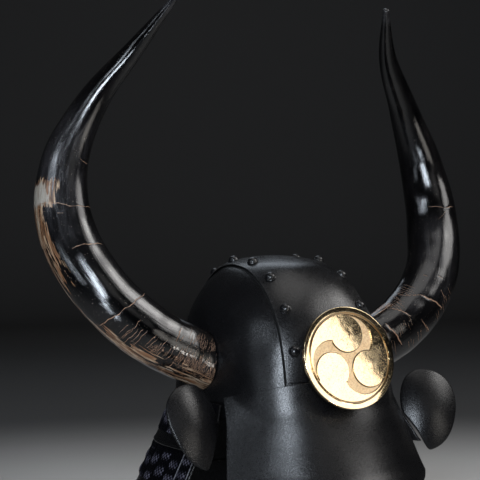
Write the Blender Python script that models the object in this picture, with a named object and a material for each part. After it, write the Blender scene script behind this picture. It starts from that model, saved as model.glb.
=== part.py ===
"""A samurai helmet with a riveted bowl, horn side crests, a disc crest and a laced neck guard.

All named sizes are millimetres. The wearer looks along -Y, the wearer's left is +X, and +Z is up.
The origin is the crown's top, on the faces of the side plates, where the helmet sits on a head.
"""

import math

import bmesh
import bpy
from mathutils import Matrix, Vector

MM = 0.001
GAP = 0.35
PLATE_GAP = 1.2

# Bowl
BOWL_HALF_WIDTH = 103.5
BOWL_FRONT = 138.0
BOWL_REAR = 122.0
BOWL_DEPTH = 150.0
BOWL_WALL = 1.8
SQUARENESS_TOP = 2.0
SQUARENESS_FRONT = 3.0
SQUARENESS_REAR = 2.3

# Crown plate and its rivets
CROWN_HALF_WIDTH = 50.0
CROWN_FLARE = 7.0
CROWN_LAP = 16.0
CROWN_WALL = 1.8
CROWN_FACE = PLATE_GAP + CROWN_WALL
RIVET_RADIUS = 6.2
RIVET_HEIGHT = 5.6
RIVET_COLLAR = 1.2
RIVET_PITCH = 47.5
RIVET_FIRST = 18.5
RIVET_EDGE = 10.5
FRONT_RIVET_COUNT = 4
REAR_RIVET_COUNT = 4

# Brow plate
BROW_WALL = 2.0
BROW_LAP = 24.0
BROW_TOP_DROP = 18.0
BROW_HEIGHT = 107.0
BROW_FLARE = 20.0
BROW_REACH = 46.0

# Waist band and neck guard
WAIST_LAP = 14.0
WAIST_DROP = 18.0
WAIST_WALL = 1.6
WAIST_FRONT = 70.0
LAME_BELOW_RIM = 2.5
LAME_PITCH = 52.0
LAME_COUNT = 3
LAME_LAP = 7.0
LAME_WALL = 2.0
LAME_FLARE = 0.47
LAME_FRONT = 58.0
LACE_THICK = 3.0
LACE_RIM = 8.0
LACE_SETBACK = 3.0

# Ear plates
EAR_HALF_WIDTH = 33.0
EAR_HALF_HEIGHT = 46.0
EAR_BESIDE_BOWL = 41.5
EAR_FORWARD = 98.0
EAR_BELOW_RIM = 18.0
EAR_TURN = 14.0
EAR_LEAN = 19.0
EAR_WALL = 2.4
EAR_CROWNING = 6.0
EAR_CURL = 3.5

# Horns
HORN_ROOT_INSET = 7.0
HORN_FORWARD = 20.0
HORN_ABOVE_RIM = 39.5
HORN_SPREAD = 140.5
HORN_RISE = 391.0
HORN_SWEEP = 64.0
HORN_RADIUS = 32.0
HORN_STUB = 22.0
HORN_BORE_DEPTH = 40.0
PIN_RADIUS = 5.0
PIN_HEAD_RADIUS = 11.0
PIN_HEAD_HEIGHT = 2.5

# Disc crest
DISC_RADIUS = 54.0
DISC_THICK = 3.0
DISC_RIM_WIDTH = 6.0
DISC_GROOVE = 2.0
DISC_RAISE = 1.4
DISC_STANDOFF = 22.0
DISC_ABOVE_RIM = 49.0
DISC_LEAN = 14.0
COMMA_COUNT = 3
COMMA_RADIUS = 19.3
COMMA_SWEEP = 118.0
POST_RADIUS = 6.0
POST_FOOT_RADIUS = 12.0
POST_FOOT_THICK = 2.5

# Height profile of the bowl, from its top to its rim.
BOWL_PROFILE = (
    # share of the plan's reach, share of the depth
    (0.00, 0.000),
    (0.20, 0.008),
    (0.43, 0.043),
    (0.53, 0.077),
    (0.63, 0.140),
    (0.72, 0.217),
    (0.80, 0.313),
    (0.87, 0.427),
    (0.92, 0.553),
    (0.945, 0.647),
    (0.975, 0.800),
    (1.00, 1.000),
)

# Brow plate sections, from its top edge down.
BROW_SECTIONS = (
    # share of the height, share of the flare, corner's share of the bowl's front, share of the reach, squareness
    (0.00, -0.14, 0.530, 0.02, 3.0),
    (0.15, 0.04, 0.547, 0.10, 3.0),
    (0.40, 0.27, 0.658, 0.34, 2.7),
    (0.65, 0.56, 0.735, 0.58, 2.4),
    (0.88, 0.83, 0.812, 0.84, 2.1),
    (1.00, 1.00, 0.855, 1.00, 2.0),
    (1.12, 1.12, 0.890, 1.14, 2.0),
)

# Lower edge of the brow plate, from its middle to its corner.
BROW_EDGE = (
    # share of the half width, share of the height
    (0.00, 0.97),
    (0.35, 1.00),
    (0.70, 1.09),
    (0.90, 1.06),
    (1.00, 1.00),
)

# Ear plate outline, anticlockwise for the wearer's left plate as seen from behind its front face.
EAR_OUTLINE = (
    # share of the half width outwards, share of the half height upwards
    (-0.97, -0.06),
    (-1.00, 0.22),
    (-0.92, 0.52),
    (-0.72, 0.80),
    (-0.40, 0.97),
    (-0.05, 1.00),
    (0.32, 0.94),
    (0.63, 0.80),
    (0.86, 0.60),
    (0.97, 0.36),
    (0.98, 0.10),
    (0.90, -0.18),
    (0.76, -0.46),
    (0.56, -0.70),
    (0.30, -0.88),
    (0.03, -0.98),
    (-0.17, -1.00),
    (-0.33, -0.86),
    (-0.55, -0.56),
    (-0.77, -0.30),
)

# Horn centreline, from its base to its tip.
HORN_SECTIONS = (
    # share outwards, share of the sweep rearwards, share of the rise, share of the radius
    (0.00, 0.00, 0.000, 0.99),
    (0.475, 0.07, 0.086, 1.01),
    (0.83, 0.33, 0.215, 1.00),
    (1.00, 0.79, 0.378, 0.99),
    (0.96, 1.00, 0.553, 0.83),
    (0.75, 0.87, 0.723, 0.56),
    (0.47, 0.47, 0.869, 0.335),
    (0.265, -0.17, 1.000, 0.11),
)

# Inner edge of a comma's tail, from its head to its tip.
COMMA_TAIL = (
    # share of the sweep, share of the way from the head's middle to the outer limit
    (0.38, 0.00),
    (0.50, 0.22),
    (0.61, 0.45),
    (0.70, 0.62),
    (0.80, 0.78),
    (0.88, 0.89),
    (1.00, 0.99),
)

SIDE_COLUMNS = 26
SIDE_ROWS = 7
CROWN_ROWS = 18
CROWN_COLUMNS = 8
BROW_COLUMNS = 22
BROW_ROWS = 9
WAIST_COLUMNS = 34
LAME_REAR_COLUMNS = 26
HORN_RINGS = 22
HORN_SIDES = 16
DISC_SIDES = 56
COMMA_HEAD_STEPS = 18
COMMA_TAIL_STEPS = 8
COMMA_RIM_STEPS = 10
RIVET_SIDES = 12

LACQUER = {"colour": (0.012, 0.012, 0.014), "roughness": 0.42, "metallic": 0.0}
RIVET_BLACK = {"colour": (0.010, 0.010, 0.012), "roughness": 0.18, "metallic": 0.3}
HORN = {"colour": (0.020, 0.016, 0.014), "roughness": 0.22, "metallic": 0.0}
BRAID = {"colour": (0.010, 0.012, 0.020), "roughness": 0.75, "metallic": 0.0}
GOLD = {"colour": (0.83, 0.62, 0.30), "roughness": 0.16, "metallic": 1.0}
IRON = {"colour": (0.09, 0.09, 0.09), "roughness": 0.45, "metallic": 0.9}


def clear_scene():
    for old in list(bpy.data.objects):
        bpy.data.objects.remove(old, do_unlink=True)


def material(name, look):
    made = bpy.data.materials.new(name)
    made.use_nodes = True
    shader = made.node_tree.nodes["Principled BSDF"]
    shader.inputs["Base Color"].default_value = (*look["colour"], 1.0)
    shader.inputs["Roughness"].default_value = look["roughness"]
    shader.inputs["Metallic"].default_value = look["metallic"]
    return made


def smooth_table(rows, at):
    """Reads a table of sections at a place, along smooth curves through its rows."""
    keys = [row[0] for row in rows]
    last = len(rows) - 1
    i = max(k for k in range(last) if k == 0 or keys[k] <= at)
    span = keys[i + 1] - keys[i]
    t = (at - keys[i]) / span

    def slope(k, column):
        before, after = max(k - 1, 0), min(k + 1, last)
        return (rows[after][column] - rows[before][column]) / (keys[after] - keys[before])

    values = []
    for column in range(1, len(rows[0])):
        start, end = rows[i][column], rows[i + 1][column]
        if t > 1.0:
            values.append(end + (at - keys[i + 1]) * (end - start) / span)
            continue
        a, b = slope(i, column) * span, slope(i + 1, column) * span
        values.append(
            start
            + t * (a + t * (3 * (end - start) - 2 * a - b + t * (2 * (start - end) + a + b)))
        )
    return values


def rim_power(a, b, n):
    """Distance from the middle to a superellipse of unit size, in the direction of a and b."""
    return (abs(a) ** n + abs(b) ** n) ** (-1.0 / n)


def squareness(share, forward):
    """The bowl's plan is round at the top and squarer at the rim."""
    rim = SQUARENESS_FRONT if forward else SQUARENESS_REAR
    return SQUARENESS_TOP + (rim - SQUARENESS_TOP) * min(share, 1.0) ** 2


def bowl_share(x, y):
    """The share of the plan's reach at which a plan position lies."""
    length = BOWL_FRONT if y < 0 else BOWL_REAR
    across, along = x / BOWL_HALF_WIDTH, y / length
    share = math.hypot(across, along)
    if share == 0:
        return 0.0
    for _ in range(12):
        n = squareness(share, y < 0)
        share = (abs(across) ** n + abs(along) ** n) ** (1.0 / n)
    return share


def bowl_height(x, y):
    return -BOWL_DEPTH * smooth_table(BOWL_PROFILE, bowl_share(x, y))[0]


def bowl_surface(x, y, offset=0.0):
    """A point of the bowl's outer face, moved along the face's normal."""
    step = 0.5
    slope_x = (bowl_height(x + step, y) - bowl_height(x - step, y)) / (2 * step)
    slope_y = (bowl_height(x, y + step) - bowl_height(x, y - step)) / (2 * step)
    normal = Vector((-slope_x, -slope_y, 1.0)).normalized()
    return Vector((x, y, bowl_height(x, y))) + normal * offset


def share_at_depth(depth):
    low, high = 0.0, 1.0
    for _ in range(30):
        middle = (low + high) / 2
        if BOWL_DEPTH * smooth_table(BOWL_PROFILE, middle)[0] < depth:
            low = middle
        else:
            high = middle
    return (low + high) / 2


def plan_point(angle, share, forward):
    """Plan position on the bowl's outline at an angle from +X, at a share of its reach."""
    c, s = math.cos(angle), math.sin(angle)
    length = BOWL_FRONT if forward else BOWL_REAR
    reach = share * rim_power(c, s, squareness(share, forward))
    return BOWL_HALF_WIDTH * reach * c, length * reach * s


def bowl_y(x, depth, forward, offset=0.0):
    """How far along Y the bowl, or a line around it, lies at a given X and depth."""
    share = share_at_depth(depth)
    n = squareness(share, forward)
    across = min(abs(x) / (BOWL_HALF_WIDTH * share + offset), 1.0)
    along = (1 - across**n) ** (1.0 / n)
    if forward:
        return -(BOWL_FRONT * share + offset) * along
    return (BOWL_REAR * share + offset) * along


def mesh_object(name, points, faces, look, smooth_angle=35.0):
    """An object from points in millimetres, with doubled points merged and faces turned outwards."""
    bm = bmesh.new()
    corners = [bm.verts.new(Vector(p) * MM) for p in points]
    for face in faces:
        if len(set(face)) == len(face):
            bm.faces.new([corners[i] for i in face])
    bmesh.ops.remove_doubles(bm, verts=bm.verts, dist=1e-6)
    bmesh.ops.dissolve_degenerate(bm, edges=bm.edges, dist=1e-6)
    bmesh.ops.recalc_face_normals(bm, faces=bm.faces)
    if bm.calc_volume(signed=True) < 0:
        bmesh.ops.reverse_faces(bm, faces=bm.faces)
    mesh = bpy.data.meshes.new(name)
    bm.to_mesh(mesh)
    bm.free()
    mesh.shade_smooth()
    mesh.set_sharp_from_angle(angle=math.radians(smooth_angle))
    mesh.materials.append(material(name, look))
    made = bpy.data.objects.new(name, mesh)
    bpy.context.scene.collection.objects.link(made)
    return made


def shell(name, outer, inner, look):
    """A closed wall between two grids of the same rows and columns."""
    rows, columns = len(outer), len(outer[0])
    points = [p for row in outer for p in row] + [p for row in inner for p in row]
    second = rows * columns
    faces = []

    def at(r, c):
        return r * columns + c

    for r in range(rows - 1):
        for c in range(columns - 1):
            quad = [at(r, c), at(r, c + 1), at(r + 1, c + 1), at(r + 1, c)]
            faces.append(quad)
            faces.append([second + i for i in reversed(quad)])
    edge = [at(0, c) for c in range(columns)]
    edge += [at(r, columns - 1) for r in range(1, rows)]
    edge += [at(rows - 1, c) for c in range(columns - 2, -1, -1)]
    edge += [at(r, 0) for r in range(rows - 2, 0, -1)]
    for a, b in zip(edge, edge[1:] + edge[:1]):
        faces.append([b, a, second + a, second + b])
    return mesh_object(name, points, faces, look)


def mirrored(grid, side):
    return [[Vector((side * p.x, p.y, p.z)) for p in row] for row in grid]


def grid_normals(grid):
    rows, columns = len(grid), len(grid[0])
    normals = []
    for r in range(rows):
        row = []
        for c in range(columns):
            along = grid[r][min(c + 1, columns - 1)] - grid[r][max(c - 1, 0)]
            down = grid[min(r + 1, rows - 1)][c] - grid[max(r - 1, 0)][c]
            row.append(down.cross(along).normalized())
        normals.append(row)
    return normals


def moved_along_normals(grid, distance):
    normals = grid_normals(grid)
    return [
        [p + n * distance for p, n in zip(row, normal_row)]
        for row, normal_row in zip(grid, normals)
    ]


def solid_of_revolution(name, profile, sides, look, placing):
    """A turned solid from (radius, height) points, first and last on the axis."""
    points, faces = [], []
    rings = []
    for radius, height in profile:
        if radius == 0:
            rings.append([len(points)] * sides)
            points.append(placing @ Vector((0, 0, height)))
            continue
        rings.append(list(range(len(points), len(points) + sides)))
        for k in range(sides):
            turn = 2 * math.pi * k / sides
            points.append(
                placing @ Vector((radius * math.cos(turn), radius * math.sin(turn), height))
            )
    for low, high in zip(rings, rings[1:]):
        for k in range(sides):
            m = (k + 1) % sides
            corners = [low[k], low[m], high[m], high[k]]
            faces.append(list(dict.fromkeys(corners)))
    return mesh_object(name, points, faces, look)


def facing(direction, at):
    """A placing whose local Z points in a direction, with local X kept level."""
    z = Vector(direction).normalized()
    x = Vector((0, 0, 1)).cross(z)
    x = Vector((1, 0, 0)) if x.length < 1e-6 else x.normalized()
    y = z.cross(x)
    placing = Matrix.Identity(4)
    for row in range(3):
        placing[row][0], placing[row][1], placing[row][2] = x[row], y[row], z[row]
        placing[row][3] = at[row]
    return placing


def cut(target, cutter):
    """Takes a cutter away from a piece. The cutter stays as a hidden guide."""
    cutter.hide_render = True
    cutter.display_type = "WIRE"
    modifier = target.modifiers.new("cut", "BOOLEAN")
    modifier.operation = "DIFFERENCE"
    modifier.object = cutter


def fuse(target, other):
    other.hide_render = True
    other.display_type = "WIRE"
    modifier = target.modifiers.new("fuse", "BOOLEAN")
    modifier.operation = "UNION"
    modifier.object = other


# Bowl plates


def crown_half_width(y):
    """The crown plate widens towards the brow."""
    return CROWN_HALF_WIDTH + CROWN_FLARE * max(0.0, -y / BOWL_FRONT)


def side_plate_point(angle, row, lap, offset):
    """Rows run from the rim up to where the crown plate covers the side plate."""
    forward = math.sin(angle) < 0
    low, high = 0.0, 1.0
    for _ in range(30):
        middle = (low + high) / 2
        x, y = plan_point(angle, middle, forward)
        if x < crown_half_width(y) - lap:
            low = middle
        else:
            high = middle
    share = 1.0 + (high - 1.0) * row
    x, y = plan_point(angle, share, forward)
    return bowl_surface(x, y, offset)


def side_plate_reach(forward):
    """The largest angle from +X at which the side plate still has some height."""
    low, high = 0.0, math.pi / 2
    for _ in range(30):
        middle = (low + high) / 2
        x, y = plan_point(-middle if forward else middle, 1.0, forward)
        if x > crown_half_width(y) - CROWN_LAP + 1.0:
            low = middle
        else:
            high = middle
    return low


def side_grid(offset):
    front, rear = side_plate_reach(True), side_plate_reach(False)
    grid = []
    for r in range(SIDE_ROWS + 1):
        row = r / SIDE_ROWS
        line = []
        for c in range(SIDE_COLUMNS + 1):
            angle = -front + (front + rear) * c / SIDE_COLUMNS
            line.append(side_plate_point(angle, row**1.25, CROWN_LAP, offset))
        grid.append(line)
    return grid


def side_plate(name, side):
    outer = mirrored(side_grid(0.0), side)
    inner = mirrored(side_grid(-BOWL_WALL), side)
    return shell(name, outer, inner, LACQUER)


def brow_top(x):
    """Depth of the brow plate's upper edge."""
    return BOWL_DEPTH - BROW_LAP + BROW_TOP_DROP * abs(x / BOWL_HALF_WIDTH) ** 3


def crown_line(across, offset):
    """One line of the crown plate, from its front end over the top to its rear end."""
    x_front = across * crown_half_width(-BOWL_FRONT)
    x_rear = across * CROWN_HALF_WIDTH
    y_front = bowl_y(x_front, brow_top(x_front) - GAP, True)
    y_rear = bowl_y(x_rear, BOWL_DEPTH, False)
    line = []
    for k in range(-CROWN_ROWS, CROWN_ROWS + 1):
        turn = math.sin(math.pi / 2 * abs(k) / CROWN_ROWS)
        y = y_front * turn if k < 0 else y_rear * turn
        x = across * crown_half_width(y)
        line.append(bowl_surface(x, y, offset))
    return line


def crown_plate():
    acrosses = [2.0 * c / CROWN_COLUMNS - 1.0 for c in range(CROWN_COLUMNS + 1)]
    outer = [crown_line(a, CROWN_FACE) for a in acrosses]
    inner = [crown_line(a, PLATE_GAP) for a in acrosses]
    return shell("crown_plate", outer, inner, LACQUER)


def rivet_seats():
    """Places along the crown plate's edge, a pitch apart, as plan positions and normals."""
    seats = []
    for forward, count, first in (
        (True, FRONT_RIVET_COUNT, RIVET_PITCH - RIVET_FIRST),
        (False, REAR_RIVET_COUNT, RIVET_FIRST),
    ):
        sign = -1 if forward else 1
        travelled, y = 0.0, 0.0
        here = None
        wanted = [first + RIVET_PITCH * k for k in range(count)]
        while wanted and abs(y) < max(BOWL_FRONT, BOWL_REAR):
            x = crown_half_width(y) - RIVET_EDGE
            if bowl_share(x, y) > 1:
                break
            there = bowl_surface(x, y, CROWN_FACE)
            travelled += 0.0 if here is None else (there - here).length
            here = there
            if travelled >= wanted[0]:
                seats.append((x, y))
                wanted.pop(0)
            y += sign * 0.25
    return seats


def rivet(name, x, y, side):
    seat = bowl_surface(x, y, CROWN_FACE + GAP)
    out = seat - bowl_surface(x, y, 0.0)
    placing = facing((side * out.x, out.y, out.z), (side * seat.x, seat.y, seat.z))
    profile = [(0, 0), (RIVET_RADIUS, 0), (RIVET_RADIUS, RIVET_COLLAR)]
    dome = RIVET_HEIGHT - RIVET_COLLAR
    for turn in (25, 60):
        angle = math.radians(turn)
        profile.append(
            (RIVET_RADIUS * 0.92 * math.cos(angle), RIVET_COLLAR + dome * math.sin(angle))
        )
    profile.append((0, RIVET_HEIGHT))
    return solid_of_revolution(name, profile, RIVET_SIDES, RIVET_BLACK, placing)


def rivets():
    for number, (x, y) in enumerate(rivet_seats(), start=1):
        rivet(f"rivet_right_{number}", x, y, -1)
        rivet(f"rivet_left_{number}", x, y, 1)


# Brow plate


def brow_point(across, down):
    """A point of the brow plate's outer face, from its upper to its lower edge."""
    start = brow_top(0)
    top = brow_top(across * BOWL_HALF_WIDTH)
    bottom = start + BROW_HEIGHT * smooth_table(BROW_EDGE, abs(across))[0]
    depth = top + (bottom - top) * down
    flare, corner, reach, power = smooth_table(BROW_SECTIONS, (depth - start) / BROW_HEIGHT)
    x = across * (BOWL_HALF_WIDTH + BROW_FLARE * flare)
    rear = BOWL_FRONT * corner
    front = BOWL_FRONT + BROW_REACH * reach
    y = -(rear + (front - rear) * (1 - abs(across) ** power))
    if depth < BOWL_DEPTH:
        y = min(y, bowl_y(x, depth, True, PLATE_GAP + BROW_WALL))
    return Vector((x, y, -depth))


def brow_plate():
    outer = []
    for r in range(BROW_ROWS + 1):
        row = []
        for c in range(BROW_COLUMNS + 1):
            turn = 2.0 * c / BROW_COLUMNS - 1.0
            across = math.sin(turn * math.pi / 2 * 0.8) / math.sin(math.pi / 2 * 0.8)
            row.append(brow_point(across, r / BROW_ROWS))
        outer.append(row)
    inner = moved_along_normals(outer, -BROW_WALL)
    return shell("brow_plate", outer, inner, LACQUER)


# Waist band and neck guard


def horseshoe(half_width, rear, front, curl, height):
    """A level line from the left front end round the back to the right front end."""
    end = [
        Vector((half_width + curl, -front, height)),
        Vector((half_width + 0.3 * curl, curl - front, height)),
        Vector((half_width, 3 * curl - front if curl else -front / 2, height)),
    ]
    line = end if curl else [end[0], end[2]]
    opposite = [Vector((-p.x, p.y, p.z)) for p in reversed(line)]
    for k in range(LAME_REAR_COLUMNS + 1):
        angle = math.pi * k / LAME_REAR_COLUMNS
        c, s = math.cos(angle), math.sin(angle)
        reach = rim_power(c, s, SQUARENESS_REAR)
        line.append(Vector((half_width * reach * c, rear * reach * s, height)))
    return line + opposite


def waist_line(inset, depth):
    """A line inside the bowl, round the back. Under the rim it keeps the rim's plan."""
    level = min(depth, BOWL_DEPTH)
    share = share_at_depth(level)
    reach = math.asin(WAIST_FRONT / BOWL_FRONT)
    line = []
    for k in range(WAIST_COLUMNS + 1):
        angle = -reach + (math.pi + 2 * reach) * k / WAIST_COLUMNS
        x, y = plan_point(angle, share, math.sin(angle) < 0)
        p = bowl_surface(x, y, -inset)
        line.append(Vector((p.x, p.y, -depth)))
    return line


def waist_band():
    """A hoop inside the side plates' rim, which carries the neck guard."""
    top, bottom = BOWL_DEPTH - WAIST_LAP, BOWL_DEPTH + WAIST_DROP
    depths = (top, (top + BOWL_DEPTH) / 2, BOWL_DEPTH, bottom)
    inset = BOWL_WALL + PLATE_GAP
    outer = [waist_line(inset, depth) for depth in depths]
    inner = [waist_line(inset + WAIST_WALL, depth) for depth in depths]
    return shell("waist_band", outer, inner, LACQUER)


def lame_half_width(number, depth):
    """Half width of a lame's outer face. Each lame starts inside the one above."""
    step = (LAME_WALL + GAP) * math.hypot(1.0, LAME_FLARE) * (number - 1)
    return BOWL_HALF_WIDTH + LAME_FLARE * (depth - BOWL_DEPTH - LAME_BELOW_RIM) - step


def ear_middle():
    return Vector((BOWL_HALF_WIDTH + EAR_BESIDE_BOWL, -EAR_FORWARD, -BOWL_DEPTH - EAR_BELOW_RIM))


def ear_back_y(x, z):
    """How far along Y the back of the wearer's left ear plate's rim lies."""
    normal = ear_placing(1).col[2].to_3d()
    middle = ear_middle()
    middle -= normal * (EAR_CROWNING + EAR_WALL + 2 * GAP)
    return middle.y - ((x - middle.x) * normal.x + (z - middle.z) * normal.z) / normal.y


def lame_front(number, half_width, depth):
    """The first lame runs forward to the ear plates. The others end beside the face."""
    return LAME_FRONT if number > 1 else -ear_back_y(half_width + EAR_CURL, -depth)


def conical_band(name, number, depths, out, thick, setback, look):
    """A band that follows a lame's outer face between two depths, ending short of its front ends."""
    slant = math.hypot(1.0, LAME_FLARE)
    longer = BOWL_REAR - BOWL_HALF_WIDTH
    curl = EAR_CURL if number == 1 and setback == 0 else 0.0
    outer, inner = [], []
    for depth in depths:
        half_width = lame_half_width(number, depth)
        front = lame_front(number, half_width, depth) - setback
        for lines, distance in ((outer, out), (inner, out - thick)):
            face = half_width + distance * slant
            lines.append(horseshoe(face, face + longer, front, curl, -depth))
    return shell(name, outer, inner, look)


def neck_guard():
    """Laced lames, each under the lower edge of the one above, with a braid over each."""
    for number in range(1, LAME_COUNT + 1):
        top = BOWL_DEPTH + LAME_BELOW_RIM + LAME_PITCH * (number - 1)
        bottom = top + LAME_PITCH
        start = top - LAME_LAP if number > 1 else top
        lame = f"neck_lame_{number}"
        conical_band(lame, number, (start, (start + bottom) / 2, bottom), 0, LAME_WALL, 0, LACQUER)
        first, last = top + GAP, bottom - LACE_RIM
        out = GAP + LACE_THICK
        setback = EAR_CURL * 3 if number == 1 else LACE_SETBACK
        lace = f"lace_row_{number}"
        conical_band(lace, number, (first, (first + last) / 2, last), out, LACE_THICK, setback, BRAID)


# Ear plates


def ear_placing(side):
    """Local X runs outwards, local Y upwards and local Z out of the plate's front face."""
    turn, lean = math.radians(EAR_TURN), math.radians(EAR_LEAN)
    level = Vector((-math.sin(turn), -math.cos(turn), 0))
    outwards = Vector((math.cos(turn), -math.sin(turn), 0))
    normal = level * math.cos(lean) + Vector((0, 0, math.sin(lean)))
    upwards = normal.cross(outwards)
    if upwards.z < 0:
        upwards = -upwards
    placing = Matrix.Identity(4)
    for row in range(3):
        placing[row][0], placing[row][1], placing[row][2] = outwards[row], upwards[row], normal[row]
    placing.translation = ear_middle()
    return Matrix.Scale(side, 4, Vector((1, 0, 0))) @ placing


def ear_plate(name, side):
    """A leaf with a crowned face, built from rings between its middle and its outline."""
    placing = ear_placing(side)
    rings = (0.0, 0.4, 0.75, 1.0)

    def face_point(share, u, v, back):
        crowning = EAR_CROWNING * (1 - share**2) - EAR_CROWNING
        height = crowning - (EAR_WALL if back else 0.0)
        local = Vector((u * share * EAR_HALF_WIDTH, v * share * EAR_HALF_HEIGHT, height))
        return placing @ local

    points, faces = [], []
    count = len(EAR_OUTLINE)
    starts = []
    for back in (False, True):
        layer = []
        for share in rings:
            layer.append(len(points))
            outline = EAR_OUTLINE if share > 0 else EAR_OUTLINE[:1]
            points += [face_point(share, u, v, back) for u, v in outline]
        starts.append(layer)
    for layer in starts:
        for k in range(count):
            m = (k + 1) % count
            faces.append([layer[0], layer[1] + k, layer[1] + m])
            for low, high in zip(layer[1:], layer[2:]):
                faces.append([low + k, high + k, high + m, low + m])
    front_rim, back_rim = starts[0][-1], starts[1][-1]
    for k in range(count):
        m = (k + 1) % count
        faces.append([front_rim + k, back_rim + k, back_rim + m, front_rim + m])
    return mesh_object(name, points, faces, LACQUER)


# Horns


def horn_section(at):
    """Centre and radius of the horn at a share of its table, from base to tip."""
    rows = [(k / (len(HORN_SECTIONS) - 1), *row) for k, row in enumerate(HORN_SECTIONS)]
    outwards, rearwards, rise, girth = smooth_table(rows, at)
    x = BOWL_HALF_WIDTH - HORN_ROOT_INSET + HORN_SPREAD * outwards
    y = -HORN_FORWARD + HORN_SWEEP * rearwards
    z = HORN_ABOVE_RIM - BOWL_DEPTH + HORN_RISE * rise
    return Vector((x, y, z)), HORN_RADIUS * girth


def horn_direction():
    near, _ = horn_section(0.0)
    far, _ = horn_section(0.02)
    return (far - near).normalized()


def horn(name, side):
    """A tapering curved horn whose base is cut to the bowl's side."""
    root, root_radius = horn_section(0.0)
    rings = [(root - horn_direction() * HORN_STUB, root_radius)]
    rings += [horn_section(k / HORN_RINGS) for k in range(HORN_RINGS + 1)]
    points, faces = [], []
    frame_x = None
    for i, (centre, radius) in enumerate(rings):
        before, after = rings[max(i - 1, 0)][0], rings[min(i + 1, len(rings) - 1)][0]
        tangent = (after - before).normalized()
        if frame_x is None:
            frame_x = tangent.orthogonal()
        frame_x = (frame_x - tangent * frame_x.dot(tangent)).normalized()
        frame_y = tangent.cross(frame_x)
        for k in range(HORN_SIDES):
            turn = 2 * math.pi * k / HORN_SIDES
            p = centre + (frame_x * math.cos(turn) + frame_y * math.sin(turn)) * radius
            points.append((side * p.x, p.y, p.z))
    last = rings[-1][0] + (rings[-1][0] - rings[-2][0]).normalized() * rings[-1][1]
    for i in range(len(rings) - 1):
        for k in range(HORN_SIDES):
            m = (k + 1) % HORN_SIDES
            a, b = i * HORN_SIDES, (i + 1) * HORN_SIDES
            faces.append([a + k, a + m, b + m, b + k])
    tip, end = len(points), (len(rings) - 1) * HORN_SIDES
    points.append((side * last.x, last.y, last.z))
    faces += [[end + k, end + (k + 1) % HORN_SIDES, tip] for k in range(HORN_SIDES)]
    faces.append(list(range(HORN_SIDES - 1, -1, -1)))
    return mesh_object(name, points, faces, HORN, smooth_angle=60.0)


def bowl_cutter():
    """The whole bowl as one solid, a clearance larger, which shapes the horns' bases."""
    columns, shares = 48, [k / 14 for k in range(1, 15)]
    rows = []
    for share in shares:
        row = []
        for c in range(columns):
            angle = 2 * math.pi * c / columns
            x, y = plan_point(angle, share**0.7, math.sin(angle) < 0)
            row.append(bowl_surface(x, y, 2 * GAP))
        rows.append(row)
    foot = [Vector((p.x, p.y, p.z - BOWL_DEPTH)) for p in rows[-1]]
    rows.append(foot)
    points = [p for row in rows for p in row]
    top = len(points)
    points.append(bowl_surface(0, 0, 2 * GAP))
    faces = [[top, (c + 1) % columns, c] for c in range(columns)]
    for r in range(len(rows) - 1):
        for c in range(columns):
            m = (c + 1) % columns
            a, b = r * columns, (r + 1) * columns
            faces.append([a + c, a + m, b + m, b + c])
    base = (len(rows) - 1) * columns
    faces.append([base + c for c in range(columns)])
    return mesh_object("guide_bowl", points, faces, IRON)


def pin_placing(side):
    root, _ = horn_section(0.0)
    direction = horn_direction()
    return facing(
        (side * direction.x, direction.y, direction.z), (side * root.x, root.y, root.z)
    )


def pin_reach():
    """Distances along the pin's axis, from the horn's root, at which it leaves the side plate."""
    root, _ = horn_section(0.0)
    direction = horn_direction()
    inward = 0.0
    while inward < 2 * HORN_STUB:
        p = root - direction * inward
        depth_here = -bowl_height(p.x, p.y) if bowl_share(p.x, p.y) < 1 else BOWL_DEPTH
        if -p.z > depth_here + BOWL_WALL:
            break
        inward += 0.1
    return inward


def horn_pin(name, side, clearance=0.0):
    """A plain headed pin from inside the bowl into the horn."""
    inward = -pin_reach() - PIN_RADIUS
    head = inward - PIN_HEAD_HEIGHT
    top = HORN_BORE_DEPTH + clearance
    profile = [
        (0, head),
        (PIN_HEAD_RADIUS, head),
        (PIN_HEAD_RADIUS, inward),
        (PIN_RADIUS + clearance, inward),
        (PIN_RADIUS + clearance, top),
        (0, top),
    ]
    return solid_of_revolution(name, profile, 12, IRON, pin_placing(side))


# Disc crest


def disc_placing():
    lean = math.radians(DISC_LEAN)
    normal = (0, -math.cos(lean), math.sin(lean))
    return facing(normal, (0, -BOWL_FRONT - DISC_STANDOFF, DISC_ABOVE_RIM - BOWL_DEPTH))


def comma_outline(turn):
    """Outline of one comma. Its tail curls anticlockwise along the rim, seen from the front."""
    limit = DISC_RADIUS - DISC_RIM_WIDTH - DISC_GROOVE
    reach = limit - COMMA_RADIUS
    sweep = math.radians(COMMA_SWEEP)
    first = COMMA_TAIL[0][0]

    def polar(radius, angle):
        return Vector((radius * math.cos(turn + angle), radius * math.sin(turn + angle)))

    head = polar(reach, 0)
    tail = []
    for k in range(COMMA_TAIL_STEPS + 1):
        share = first + (1 - first) * k / COMMA_TAIL_STEPS
        out = smooth_table(COMMA_TAIL, share)[0]
        tail.append(polar(reach + (limit - reach) * out, sweep * share))
    rim = [polar(limit, sweep * (1 - k / COMMA_RIM_STEPS)) for k in range(1, COMMA_RIM_STEPS + 1)]
    to_tail = tail[0] - head
    around = turn - math.atan2(to_tail.y, to_tail.x)
    around %= 2 * math.pi
    head_side = [
        head + Vector((math.cos(turn - around * k), math.sin(turn - around * k))) * COMMA_RADIUS
        for k in (n / COMMA_HEAD_STEPS for n in range(1, COMMA_HEAD_STEPS))
    ]
    return head_side + tail + rim


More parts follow.
